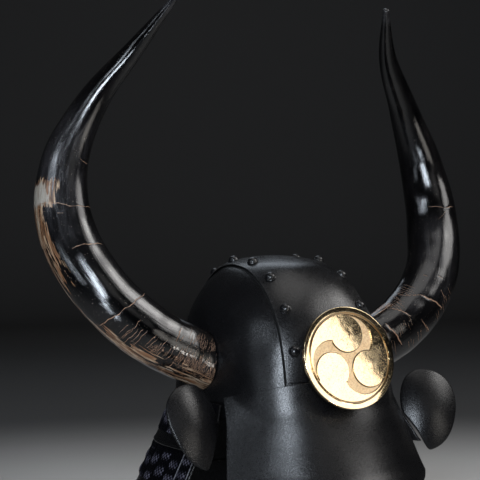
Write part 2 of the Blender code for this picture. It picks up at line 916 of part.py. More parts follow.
def prism(name, outline, low, high, look, placing):
    count = len(outline)
    points = [placing @ Vector((p.x, p.y, z)) for z in (low, high) for p in outline]
    faces = [list(range(count)), list(range(2 * count - 1, count - 1, -1))]
    for k in range(count):
        m = (k + 1) % count
        faces.append([k, m, count + m, count + k])
    return mesh_object(name, points, faces, look)


def crest_disc():
    placing = disc_placing()
    rim = DISC_RADIUS - DISC_RIM_WIDTH
    bevel = DISC_RAISE / 2
    profile = [
        (0, -DISC_THICK),
        (DISC_RADIUS, -DISC_THICK),
        (DISC_RADIUS, DISC_RAISE - bevel),
        (DISC_RADIUS - bevel, DISC_RAISE),
        (rim + bevel, DISC_RAISE),
        (rim, 0),
        (0, 0),
    ]
    disc = solid_of_revolution("crest_disc", profile, DISC_SIDES, GOLD, placing)
    for number in range(COMMA_COUNT):
        outline = comma_outline(math.radians(90) + 2 * math.pi * number / COMMA_COUNT)
        name = f"guide_comma_{number + 1}"
        fuse(disc, prism(name, outline, -DISC_THICK / 2, DISC_RAISE, GOLD, placing))
    return disc


def crest_post():
    """A plain stub between the crown plate and the back of the disc."""
    placing = disc_placing()
    back = -DISC_THICK - GAP
    foot = back
    while foot > -BOWL_FRONT:
        edges = [placing @ Vector((0, h, foot)) for h in (-POST_FOOT_RADIUS, 0, POST_FOOT_RADIUS)]
        seats = [bowl_surface(0, bowl_y(0, -p.z, True), CROWN_FACE + 2 * GAP) for p in edges]
        if any(p.y >= seat.y for p, seat in zip(edges, seats)):
            break
        foot -= 0.05
    shoulder = foot + POST_FOOT_THICK
    profile = [
        (0, foot),
        (POST_FOOT_RADIUS, foot),
        (POST_FOOT_RADIUS, shoulder),
        (POST_RADIUS, shoulder),
        (POST_RADIUS, back),
        (0, back),
    ]
    return solid_of_revolution("crest_post", profile, 16, IRON, placing)


def main():
    clear_scene()
    crown_plate()
    rivets()
    guide = bowl_cutter()
    for word, side in (("right", -1), ("left", 1)):
        plate = side_plate(f"side_plate_{word}", side)
        ear_plate(f"ear_plate_{word}", side)
        made = horn(f"horn_{word}", side)
        cut(made, guide)
        hole = horn_pin(f"guide_pin_{word}", side, GAP)
        cut(plate, hole)
        cut(made, hole)
        horn_pin(f"horn_pin_{word}", side)
    brow_plate()
    waist_band()
    neck_guard()
    crest_disc()
    crest_post()


main()
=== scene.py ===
"""The looks of the samurai helmet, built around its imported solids.

Sizes in the tables and functions are millimetres, and a mesh is turned into metres when it is made.
The wearer looks along -Y, the wearer's left is +X, and the origin is the top of the bowl.
"""

import math

import bmesh
import bpy
import numpy as np
from mathutils import Matrix, Quaternion, Vector


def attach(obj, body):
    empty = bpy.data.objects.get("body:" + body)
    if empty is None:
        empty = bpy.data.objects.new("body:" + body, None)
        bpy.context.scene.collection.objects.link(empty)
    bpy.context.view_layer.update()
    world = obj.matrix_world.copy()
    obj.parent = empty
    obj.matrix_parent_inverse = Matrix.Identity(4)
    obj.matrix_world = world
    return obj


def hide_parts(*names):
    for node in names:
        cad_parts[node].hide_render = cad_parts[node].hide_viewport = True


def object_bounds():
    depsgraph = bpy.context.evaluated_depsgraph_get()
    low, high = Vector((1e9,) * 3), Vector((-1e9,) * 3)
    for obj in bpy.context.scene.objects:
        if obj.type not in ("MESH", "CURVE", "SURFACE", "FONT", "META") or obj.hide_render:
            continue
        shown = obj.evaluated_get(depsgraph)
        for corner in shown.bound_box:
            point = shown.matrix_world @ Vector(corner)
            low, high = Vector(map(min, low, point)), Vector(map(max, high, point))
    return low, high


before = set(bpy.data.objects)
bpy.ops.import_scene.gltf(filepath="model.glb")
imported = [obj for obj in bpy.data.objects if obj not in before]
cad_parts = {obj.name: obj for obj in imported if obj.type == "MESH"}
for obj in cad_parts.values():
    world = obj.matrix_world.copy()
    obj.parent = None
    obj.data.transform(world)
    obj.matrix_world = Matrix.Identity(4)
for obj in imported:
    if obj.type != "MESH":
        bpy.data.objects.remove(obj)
cad_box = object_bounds()

MM = 0.001
GAP = 0.35
PLATE_GAP = 1.2
SIDES = (("right", -1), ("left", 1))
BEVEL_SEGMENTS = 3
BEVEL_ANGLE = 50.0

# How finely places on the bowl are searched for
SHARE_ROUNDS = 12
HALVINGS = 30
PROFILE_STEPS = 2001
ANGLE_STEPS = 4000
PROBE = 0.5

# Bowl
BOWL_HALF_WIDTH = 103.5
BOWL_FRONT = 138.0
BOWL_REAR = 122.0
BOWL_DEPTH = 150.0
BOWL_WALL = 1.8
SEAM_MARK = 50.0
SIDE_GRID = (141, 37)
SIDE_CROWDING = 1.25
SIDE_LEAST = 1.0
SQUARENESS_TOP = 2.0
SQUARENESS_FRONT = 3.0
SQUARENESS_REAR = 2.3
CROWN_HALF_WIDTH = 50.0
CROWN_FLARE = 7.0
CROWN_LAP = 16.0
CROWN_WALL = 1.8
CROWN_EDGE_LIFT = 0.7
LIFT_REACH = 5.0
# How far in from the crown plate's edges the wear and its painted highlight reach
WEAR_AND_HIGHLIGHT_REACH = 0.8
CROWN_TURN = 0.93
CROWN_GRID = (61, 145)
CROWN_FACE = PLATE_GAP + CROWN_WALL
RIVET_RADIUS = 6.2
RIVET_HEIGHT = 5.6
RIVET_COLLAR = 1.2
RIVET_PITCH = 47.5
RIVET_FIRST = 18.5
RIVET_EDGE = 10.5
RIVET_COUNT = 4
RIVET_LIP = 0.45
RIVET_SHOULDER = 0.85
RIVET_EASE = 0.25
RIVET_NECK = 0.91
RIVET_DOME = 0.89
RIVET_SINK = 0.15
RIVET_SIDES = 36
SEAT_STEP = 0.25

# Brow plate
BROW_WALL = 2.0
BROW_LAP = 24.0
BROW_TOP_DROP = 18.0
BROW_HEIGHT = 107.0
BROW_FLARE = 20.0
BROW_REACH = 46.0
BROW_BLEND = 7.0
BROW_FADE = 30.0
BROW_TURN = 0.8
BROW_GRID = (131, 53)

# Neck guard
LAME_BELOW_RIM = 2.5
LAME_PITCH = 52.0
LAME_COUNT = 3
LAME_LAP = 7.0
LAME_WALL = 2.0
LAME_FLARE = 0.47
LAME_FRONT = 58.0
LAME_BEAD = 0.8
LAME_COLUMNS = 261
LAME_ROWS = (8, 9)
BEAD_ZONE = 5.0
BEAD_MIDDLE = 1.7
BEAD_REACH = 1.3
SIDE_STEPS = 120
REAR_STEPS = 421
LACE_THICK = 3.0
LACE_RIM = 13.0
LACE_SETBACK = 3.0
BRAID_PITCH = 26.0
BRAID_HALF_WIDTH = 10.6
BRAID_END = 6.0
BRAID_EDGE = 0.35
WEAVE_ACROSS = 6.6
WEAVE_DOWN = 4.8
STEPS_ACROSS = 8
STEPS_DOWN = 5
WEAVE_HEIGHT = 0.7
# How far down from a braid's upper end its painted shadow reaches
SHADED_TOP = 7.0
BRAID_POWER = 2.4
BRAID_LOW = 0.30
LUMP_SHIFT = 2.6
STRAND_RISE = 1.6
BRAID_SEED = 20
BRAID_SPREAD = (
    # least and most fullness, phase, swells down the braid, lean, shift across
    (0.84, 1.0), (0.0, 1.0), (1.7, 3.3), (-0.18, 0.18), (-0.7, 0.7),
)
PIPING_RADIUS = 0.7
PIPING_INSET = 1.2
PIPING_SPACING = 24.0
PIPING_LIFT = 2.2
PIPING_START = 1.0
PIPING_STEPS = 24
PIPING_SIDES = 10
ASKEW = (0.31, 0.95, 0.12)

# Ear plates
EAR_HALF_WIDTH = 33.0
EAR_HALF_HEIGHT = 46.0
EAR_BESIDE_BOWL = 41.5
EAR_FORWARD = 98.0
EAR_BELOW_RIM = 18.0
EAR_TURN = 14.0
EAR_LEAN = 19.0
EAR_WALL = 2.4
EAR_CROWNING = 6.0
EAR_DOME = 3.0
EAR_CURL = 3.5
EAR_RINGS = 22
EAR_MIDDLE = 0.04
EAR_INSET = 0.2

# Horns
HORN_ROOT_INSET = 7.0
HORN_FORWARD = 20.0
HORN_ABOVE_RIM = 39.5
HORN_SPREAD = 140.5
HORN_RISE = 391.0
HORN_SWEEP = 64.0
HORN_RADIUS = 32.0
HORN_SEAT = 0.7
HORN_BASE = 60.0
HORN_STEP = 0.86
BASE_EXTRA = 12.0
HORN_SIDES = 88
HORN_SAMPLES = 4001
START_SAMPLE = 80
ROOT_SEARCH = (-22.0, 45.0, 0.5)
ROOT_LIP = 1.6
ROOT_ROUNDING = 1.5
HORN_SINK = 0.9
RELIEF_LIMIT = 1.0
TIP_REACH = 0.6
TIP_LOOKBACK = 4.0
TIP_TURNS = (25, 50, 72)
HORN_PHASE = {"right": 0.6, "left": 2.1}
GRAIN_SHIFT = {"right": 0, "left": 900}
CRACK_SEED = {"right": 31, "left": 32}
CRACK_DEPTH = 0.3
CRACK_SPAN = 4.0
CRACK_NEAR = 3.0
CRACK_FAR = 9.0
CRACK_TAPER = 5.0
CRACK_ENDS = 0.35
GROOVE_REACH = 0.9
WANDER_RUN = 24.0
GROWTH_HEIGHT = 0.22
GROWTH_PACE = 4.1
GROWTH_LEAN = 0.8
GROWTH_FADE = 120.0
FINE_FADE = 75.0

# Disc crest
DISC_RADIUS = 54.0
DISC_THICK = 3.0
DISC_RIM_WIDTH = 6.0
DISC_GROOVE = 2.0
DISC_RAISE = 1.4
DISC_STANDOFF = 22.0
DISC_ABOVE_RIM = 49.0
DISC_LEAN = 14.0
COMMA_COUNT = 3
COMMA_REACH = 25.2
COMMA_RADIUS = 19.0
COMMA_SWEEP = 126.0
COMMA_BEVEL = 0.45
COMMA_SEGMENTS = 2
COMMA_FOOT = -0.3
TAIL_STEPS = 30
RIM_STEPS = 35
BULB_STEPS = 60
GROOVE_DEPTH = 0.9
GROUND_BACK = -1.5
GROUND_RINGS = 76
GROUND_PLAY = 0.05
FAR = 99.0
CORNER_SHADE_REACH = 1.1
RIM_ROUNDING = 0.7
RIM_SHOULDER = ((0.8, 0.0), (0.2, 0.35), (0.0, 0.9))
BACK_BEVEL = 0.6
DISC_BED = -1.6
DISC_SIDES = 144

# Camera, as the picture was taken
CAMERA_AZIMUTH = -28.0
CAMERA_ELEVATION = 0.95
CAMERA_ROLL = -0.63
CAMERA_DISTANCE = 1860.0
CAMERA_MIDDLE = (-37.07, 19.9)
CAMERA_LENS = 124.2
CAMERA_SENSOR = 36.0

# Floor
FLOOR_RINGS = (400.0, 900.0, 1600.0, 2600.0, 3600.0)
FLOOR_BEND = 900.0
FLOOR_WALL = 900.0
FLOOR_SIDES = 96

# Light
HELMET = (0.0, 0.0, -0.05)
DISC = (0.0, -0.16, -0.10)
HORN_BEND = (-0.215, -0.03, -0.05)
HORN_BOW = (-0.245, -0.02, 0.01)
LEFT_HORN = (0.225, 0.043, 0.13)
HORN_TOP = (-0.22, -0.01, 0.19)
HORN_FOOT = (-0.12, -0.05, -0.11)
BEHIND = (1.2, 2.2, 0.80)
COOL = (0.80, 0.89, 1.0)
CREAM = (1.0, 0.95, 0.88)
NEUTRAL = (1.0, 0.98, 0.96)
WORLD_COLOUR = (0.90, 0.90, 0.92, 1.0)
WORLD_STRENGTH = 0.022

LIGHTS = (
    # name, aim, azimuth, elevation, distance, turn, spread, width, height, brightness, colour
    ("key_light", HELMET, -32, 12, 2.1, 0, 180, 0.36, 0.74, 98, COOL),
    ("low_strip", HORN_BEND, -35, -12, 0.6, 0, 46, 0.035, 0.32, 7.5, COOL),
    ("bow_strip", HORN_BOW, -63, 3, 0.6, -33, 44, 0.32, 0.03, 2.3, COOL),
    ("high_strip", HORN_TOP, -66, 30.5, 1.6, -8, 25, 0.56, 0.13, 1.15, COOL),
    ("high_core", HORN_TOP, -28, 16.5, 1.6, 0, 28, 0.34, 0.13, 3.4, COOL),
    ("left_strip", LEFT_HORN, -27, -9, 0.8, 0, 22, 0.05, 0.22, 1.2, COOL),
    ("edge_strip", HELMET, -86, 29, 2.0, 0, 180, 0.12, 0.50, 24, COOL),
    ("front_light", DISC, 24.7, 8.0, 1.65, 21, 180, 0.74, 0.66, 7, CREAM),
    ("front_wash", HELMET, 4, 28, 2.0, 0, 180, 0.90, 0.70, 1.2, NEUTRAL),
    ("low_light", HORN_FOOT, 18, -9, 0.8, 0, 22, 0.07, 0.07, 1.8, CREAM),
    ("side_light", HELMET, 60, 38, 2.0, 0, 180, 1.20, 1.00, 12, NEUTRAL),
    ("side_core", HELMET, 62, 43, 1.98, 0, 180, 0.52, 0.26, 16, NEUTRAL),
    ("top_light", HELMET, 40, 80, 2.0, 0, 180, 1.40, 1.40, 4, NEUTRAL),
    ("rear_light", HELMET, 160, 42, 2.4, 0, 180, 1.20, 0.80, 6, COOL),
    ("backdrop_light", BEHIND, -28, 0, 1.0, 0, 100, 0.60, 0.40, 7, NEUTRAL),
)

# Unevenness. A sum of waves as high as the crest has the full height.
WAVE_COUNT = 7
WAVE_CREST = 3.0
UNEVENNESS = {
    # size of the waves, their height, seed, how far below the even surface
    "crown": (48.0, 0.16, 3, 0.12),
    "side_right": (46.0, 0.18, 5, 0.14),
    "side_left": (46.0, 0.18, 6, 0.14),
    "brow": (60.0, 0.15, 9, 0.12),
    "ear_right": (30.0, 0.12, 11, 0.0),
    "ear_left": (30.0, 0.12, 12, 0.0),
    "horn": (55.0, 0.35, 15, 0.0),
}

# Outlines and sections
BOWL_PROFILE = (
    # share of the plan's reach, share of the depth
    (0.00, 0.000), (0.20, 0.008), (0.43, 0.043), (0.53, 0.077), (0.63, 0.140), (0.72, 0.217),
    (0.80, 0.313), (0.87, 0.427), (0.92, 0.553), (0.945, 0.647), (0.975, 0.800), (1.00, 1.000),
)

BROW_SECTIONS = (
    # share of the height, share of the flare, corner's share of the bowl's front,
    # share of the reach, squareness
    (0.00, -0.14, 0.530, 0.02, 3.0),
    (0.15, 0.04, 0.547, 0.10, 3.0),
    (0.40, 0.27, 0.658, 0.34, 2.7),
    (0.65, 0.56, 0.735, 0.58, 2.4),
    (0.88, 0.83, 0.812, 0.84, 2.1),
    (1.00, 1.00, 0.855, 1.00, 2.0),
    (1.12, 1.12, 0.890, 1.14, 2.0),
)

BROW_EDGE = (
    # share of the half width, share of the height
    (0.00, 0.97), (0.35, 1.00), (0.70, 1.09), (0.90, 1.06), (1.00, 1.00),
)

EAR_OUTLINE = (
    # share of the half width outwards, share of the half height upwards
    (-0.97, -0.06), (-1.00, 0.22), (-0.92, 0.52), (-0.72, 0.80), (-0.40, 0.97), (-0.05, 1.00),
    (0.32, 0.94), (0.63, 0.80), (0.86, 0.60), (0.97, 0.36), (0.98, 0.10), (0.90, -0.18),
    (0.76, -0.46), (0.56, -0.70), (0.30, -0.88), (0.03, -0.98), (-0.17, -1.00), (-0.33, -0.86),
    (-0.55, -0.56), (-0.77, -0.30),
)

HORN_SECTIONS = (
    # share outwards, share of the sweep rearwards, share of the rise, share of the radius
    (0.00, 0.00, 0.000, 0.99),
    (0.475, 0.07, 0.086, 1.01),
    (0.83, 0.33, 0.215, 1.00),
    (1.00, 0.79, 0.378, 0.99),
    (0.96, 1.00, 0.553, 0.83),
    (0.75, 0.87, 0.723, 0.56),
    (0.47, 0.47, 0.869, 0.335),
    (0.265, -0.17, 1.000, 0.11),
)

HORN_FLATS = (
    # flats round the horn, height, mm along for a radian of twist
    (3, 0.55, 95.0),
    (5, 0.35, -60.0),
)

CRACK_WANDER = (
    # mm to either side, pace round the horn, shift from one crack to the next
    (0.6, 0.16, 1.0),
    (0.3, 0.41, 2.3),
)

COMMA_TAIL = (
    # share of the sweep, share of the way from the head's middle to the outer limit
    (0.329, 0.035), (0.421, 0.322), (0.508, 0.543), (0.591, 0.726), (0.675, 0.856), (0.754, 0.930),
    (0.833, 0.972), (1.000, 1.000),
)

# Growth cracks. Degrees run round the horn from the side that faces the camera.
HORN_CRACKS = {
    "right": (
        # mm along and degrees at one end, the same at the other, half width
        (246, -44, 246, -20, 0.50), (246, -20, 238, 32, 0.42), (238, 32, 240, 96, 0.36),
        (233, -5, 232, 7, 0.34), (191, 4, 183, 76, 0.40), (121, -56, 115, 8, 0.50),
        (115, 8, 107, 84, 0.46), (54, 18, 51, 52, 0.46), (49, 24, 46, 38, 0.42),
        (33, 28, 26, 19, 0.42), (48, -64, 45, -8, 0.50), (150, 120, 146, 178, 0.45),
        (214, 150, 210, 205, 0.45), (78, 110, 72, 190, 0.55), (30, 100, 33, 170, 0.55),
        (300, 40, 297, 75, 0.35),
    ),
    "left": (
        (235, -10, 231, 26, 0.34), (231, 26, 235, 54, 0.45), (214, 9, 230, 31, 0.80),
        (87, -40, 99, -10, 0.75), (99, -10, 109, 50, 1.25), (38, -72, 58, -50, 0.60),
        (58, -50, 69, -3, 0.60), (36, -26, 43, 33, 1.20), (127, -24, 127, -14, 0.60),
        (134, 9, 134, 18, 0.55), (121, 24, 118, 44, 0.42), (76, 20, 80, 60, 0.42),
        (160, 130, 154, 190, 0.50), (82, 120, 75, 200, 0.60), (230, 150, 226, 200, 0.50),
    ),
}

CRACK_CLUSTERS = {
    "right": (
        # first and last mm along, count, degrees from and to
        (103, 86, 6, -38, 8), (246, 233, 6, -64, -42), (76, 50, 13, -24, 4), (46, -6, 30, -30, 12),
        (40, 4, 14, 26, 60), (100, 70, 8, 140, 175),
    ),
    "left": (
        (130, 98, 8, 42, 58), (104, 62, 14, -64, -32), (34, 0, 12, 12, 44), (80, 52, 9, 38, 52),
        (66, 46, 8, -4, 10), (30, 4, 8, -24, 14), (60, 20, 9, 150, 190),
    ),
}

PALE_PATCHES = {
    "right": (
        # mm along, degrees, half length, half spread in degrees, strength
        (256, -60, 15, 52, 1.30), (226, -56, 26, 26, 0.78), (190, -52, 30, 26, 0.68),
        (140, -84, 62, 26, 0.88), (98, -66, 34, 26, 0.78), (68, -48, 20, 26, 0.76),
        (44, -48, 14, 24, 0.82), (14, -46, 30, 30, 0.82), (-8, 0, 6, 70, 0.60),
        (70, -118, 70, 28, 0.76), (150, 190, 50, 18, 0.64),
    ),
    "left": (
        (50, -66, 22, 14, 0.56), (40, 92, 40, 22, 0.64), (110, 98, 50, 12, 0.58),
        (70, 190, 60, 22, 0.64),
    ),
}

SMOKY_PATCHES = {
    "right": (
        (282, -6, 66, 60, 1.00), (214, 10, 20, 26, 0.70), (150, 60, 60, 20, 0.50),
        (380, 110, 90, 50, 0.60), (200, 170, 90, 60, 0.70), (511, 0, 15, 190, 1.50),
    ),
    "left": (
        (162, 6, 50, 42, 1.05), (96, -16, 24, 22, 0.90), (300, 150, 90, 60, 0.70),
        (180, 200, 80, 50, 0.60), (511, 0, 15, 190, 1.50),
    ),
}


# Shapes


def smooth_table(rows, at):
    """Reads a table at the given places, along smooth curves through its rows."""
    rows = np.asarray(rows, float)
    at = np.asarray(at, float)
    keys, values = rows[:, 0], rows[:, 1:]
    last = len(keys) - 1
    k = np.arange(last + 1)
    before, after = np.maximum(k - 1, 0), np.minimum(k + 1, last)
    slopes = (values[after] - values[before]) / (keys[after] - keys[before])[:, None]
    i = np.clip(np.searchsorted(keys, at, side="right") - 1, 0, last - 1)
    span = (keys[i + 1] - keys[i])[..., None]
    t = (at - keys[i])[..., None] / span
    start, end = values[i], values[i + 1]
    a, b = slopes[i] * span, slopes[i + 1] * span
    curve = start + t * (a + t * (3 * (end - start) - 2 * a - b + t * (2 * (start - end) + a + b)))
    return np.where(t > 1, end + (t - 1) * (end - start), curve)


def squareness(share, y):
    rim = np.where(y < 0, SQUARENESS_FRONT, SQUARENESS_REAR)
    return SQUARENESS_TOP + (rim - SQUARENESS_TOP) * np.minimum(share, 1.0) ** 2


def bowl_share(x, y):
    """The share of the plan's reach at which plan positions lie."""
    across = np.abs(x) / BOWL_HALF_WIDTH
    along = np.abs(y) / np.where(y < 0, BOWL_FRONT, BOWL_REAR)
    share = np.hypot(across, along)
    for _ in range(SHARE_ROUNDS):
        n = squareness(share, y)
        share = (across**n + along**n) ** (1.0 / n)
    return share


def bowl_height(x, y):
    return -BOWL_DEPTH * smooth_table(BOWL_PROFILE, bowl_share(x, y))[..., 0]


def bowl_slopes(x, y):
    slope_x = (bowl_height(x + PROBE, y) - bowl_height(x - PROBE, y)) / (2 * PROBE)
    slope_y = (bowl_height(x, y + PROBE) - bowl_height(x, y - PROBE)) / (2 * PROBE)
    return slope_x, slope_y


def bowl_surface(x, y, offset=0.0):
    """Points of the bowl's outer face, moved along its normals."""
    x, y = np.broadcast_arrays(np.asarray(x, float), np.asarray(y, float))
    slope_x, slope_y = bowl_slopes(x, y)
    normals = unit(np.stack([-slope_x, -slope_y, np.ones_like(slope_x)], axis=-1))
    return np.stack([x, y, bowl_height(x, y)], axis=-1) + normals * offset


def share_at_depth(depth):
    shares = np.linspace(0.0, 1.0, PROFILE_STEPS)
    return np.interp(depth, BOWL_DEPTH * smooth_table(BOWL_PROFILE, shares)[:, 0], shares)


def plan_point(angle, share):
    """Plan positions on the bowl's outline at angles from +X, at a share of its reach."""
    c, s = np.cos(angle), np.sin(angle)
    n = squareness(share, s)
    reach = share * (np.abs(c) ** n + np.abs(s) ** n) ** (-1.0 / n)
    return BOWL_HALF_WIDTH * reach * c, np.where(s < 0, BOWL_FRONT, BOWL_REAR) * reach * s


def bowl_y(x, depth, forward, offset=0.0):
    """How far along Y the bowl, or a line around it, lies at a given X and depth."""
    share = share_at_depth(depth)
    n = squareness(share, -1.0 if forward else 1.0)
    across = np.minimum(np.abs(x) / (BOWL_HALF_WIDTH * share + offset), 1.0)
    along = (1 - across**n) ** (1.0 / n)
    return (-(BOWL_FRONT * share + offset) if forward else BOWL_REAR * share + offset) * along


def unit(vectors):
    return vectors / np.maximum(np.linalg.norm(vectors, axis=-1, keepdims=True), 1e-12)


def travelled(line):
    """Distances of a line's points from its first one, along it."""
    return np.concatenate([[0], np.cumsum(np.linalg.norm(np.diff(line, axis=0), axis=1))])


def grid_normals(grid):
    """Normals of a grid whose rows run down and whose columns run along."""
    return unit(np.cross(np.gradient(grid, axis=0), np.gradient(grid, axis=1)))


def ripple(points, surface):
    """A surface's gentle unevenness, from a few waves in fixed directions."""
    size, height, seed, below = UNEVENNESS[surface]
    draw = np.random.default_rng(seed)
    total = np.zeros(points.shape[:-1])
    for _ in range(WAVE_COUNT):
        heading = unit(draw.normal(size=3))
        length = size * draw.uniform(0.7, 1.5)
        total += np.sin(points @ heading * 2 * math.pi / length + draw.uniform(0, 2 * math.pi))
    return height * total / WAVE_CREST - below


# Meshes


def grid_faces(rows, columns, closed=False, start=0):
    """Quads of a grid of points. A closed grid joins its last column to its first."""
    r, c = np.meshgrid(np.arange(rows - 1), np.arange(columns - (0 if closed else 1)), indexing="ij")
    d = (c + 1) % columns
    quads = np.stack([r * columns + c, r * columns + d, (r + 1) * columns + d, (r + 1) * columns + c], -1)
    return (start + quads.reshape(-1, 4)).tolist()


def added(name, data):
    """A new object in the scene."""
    made = bpy.data.objects.new(name, data)
    bpy.context.scene.collection.objects.link(made)
    return made


def piece(name, points, faces, look, nodes, sharp=40.0, attributes=None, bevel=0.0):
    """A piece from points in millimetres, which stands for CAD nodes and rides with them."""
    mesh = bpy.data.meshes.new(name)
    mesh.from_pydata((np.asarray(points).reshape(-1, 3) * MM).tolist(), [], faces)
    for key, values in (attributes or {}).items():
        kind = "FLOAT" if values.ndim == 1 else "FLOAT_VECTOR"
        field = "value" if values.ndim == 1 else "vector"
        made = mesh.attributes.new(key, kind, "POINT")
        made.data.foreach_set(field, values.astype(np.float32).ravel())
    bm = bmesh.new()
    bm.from_mesh(mesh)
    bmesh.ops.recalc_face_normals(bm, faces=bm.faces)
    if bm.calc_volume(signed=True) < 0:
        bmesh.ops.reverse_faces(bm, faces=bm.faces)
    bm.to_mesh(mesh)
    bm.free()
    mesh.shade_smooth()
    mesh.set_sharp_from_angle(angle=math.radians(sharp))
    mesh.materials.append(look)
    made = added(name, mesh)
    if bevel:
        modifier = made.modifiers.new("edges", "BEVEL")
        modifier.width = bevel * MM
        modifier.segments = BEVEL_SEGMENTS
        modifier.limit_method = "ANGLE"
        modifier.angle_limit = math.radians(BEVEL_ANGLE)
    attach(made, "root")
    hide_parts(*nodes)
    return made


def skirt(edge, second):
    """Quads between an edge's points and the same points of a second face."""
    following = np.roll(edge, -1)
    return np.stack([edge, following, second + following, second + edge], -1).tolist()


def wall(name, outer, inner, node, bevel=0.5, attributes=None):
    """A closed lacquered wall between two grids of the same rows and columns."""
    rows, columns = outer.shape[:2]
    second = rows * columns
    index = np.arange(second).reshape(rows, columns)
    edge = np.concatenate([index[0, :-1], index[:-1, -1], index[-1, :0:-1], index[:0:-1, 0]])
    faces = grid_faces(rows, columns) + grid_faces(rows, columns, start=second) + skirt(edge, second)
    points = np.concatenate([outer.reshape(-1, 3), inner.reshape(-1, 3)])
    piece(name, points, faces, LACQUER, [node], bevel=bevel, attributes=attributes)


def round_angles(sides):
    return 2 * math.pi * np.arange(sides) / sides


def turned_rings(profile, sides):
    """Rings of points about Z, one for each (radius, height)."""
    turn = round_angles(sides)
    return [np.stack([r * np.cos(turn), r * np.sin(turn), np.full(sides, h)], -1) for r, h in profile]


def lidded_faces(rings, sides):
    """Faces of closed rings with a lid at each end."""
    last = (rings - 1) * sides
    lids = [list(range(sides)), list(range(last, last + sides))]
    return grid_faces(rings, sides, closed=True) + lids


def fanned_faces(rings, sides):
    """Faces of closed rings with a fan at each end, about the two points that follow the rings."""
    faces = grid_faces(rings, sides, closed=True)
    low, high, last = rings * sides, rings * sides + 1, (rings - 1) * sides
    for k in range(sides):
        m = (k + 1) % sides
        faces.append([low, m, k])
        faces.append([high, last + k, last + m])
    return faces


def turned_mesh(profile, sides):
    """Points and faces of a solid turned about Z, from (radius, height) points that start and end on it."""
    rings = turned_rings(profile[1:-1], sides)
    ends = np.array([[0, 0, profile[0][1]], [0, 0, profile[-1][1]]])
    return np.concatenate(rings + [ends]), fanned_faces(len(rings), sides)


def placed(points, placing):
    matrix = np.array(placing)
    return points @ matrix[:3, :3].T + matrix[:3, 3]


def placing_of(x, y, z, at):
    """A placing with these local axes, at a point."""
    placing = np.identity(4)
    placing[:3, 0], placing[:3, 1], placing[:3, 2], placing[:3, 3] = x, y, z, at
    return placing


def facing(towards, at):
    """A placing whose local Z points in a direction, with local X kept level."""
    z = unit(np.asarray(towards, float))
    x = np.cross([0.0, 0.0, 1.0], z)
    x = unit(x) if np.linalg.norm(x) > 1e-6 else np.array([1.0, 0.0, 0.0])
    return placing_of(x, np.cross(z, x), z, at)


def spokes(x, y, turn):
    """Directions round a line, turned from its two cross directions."""
    return x * np.cos(turn)[None, :, None] + y * np.sin(turn)[None, :, None]


def tube(line, radius):
    """Points and faces of a round cord with closed ends along a line of points."""
    tangents = unit(np.gradient(line, axis=0))
    x = unit(np.cross(tangents, ASKEW))
    y = np.cross(tangents, x)
    points = line[:, None] + radius * spokes(x[:, None], y[:, None], round_angles(PIPING_SIDES))
    return points.reshape(-1, 3), lidded_faces(len(line), PIPING_SIDES)


# Materials


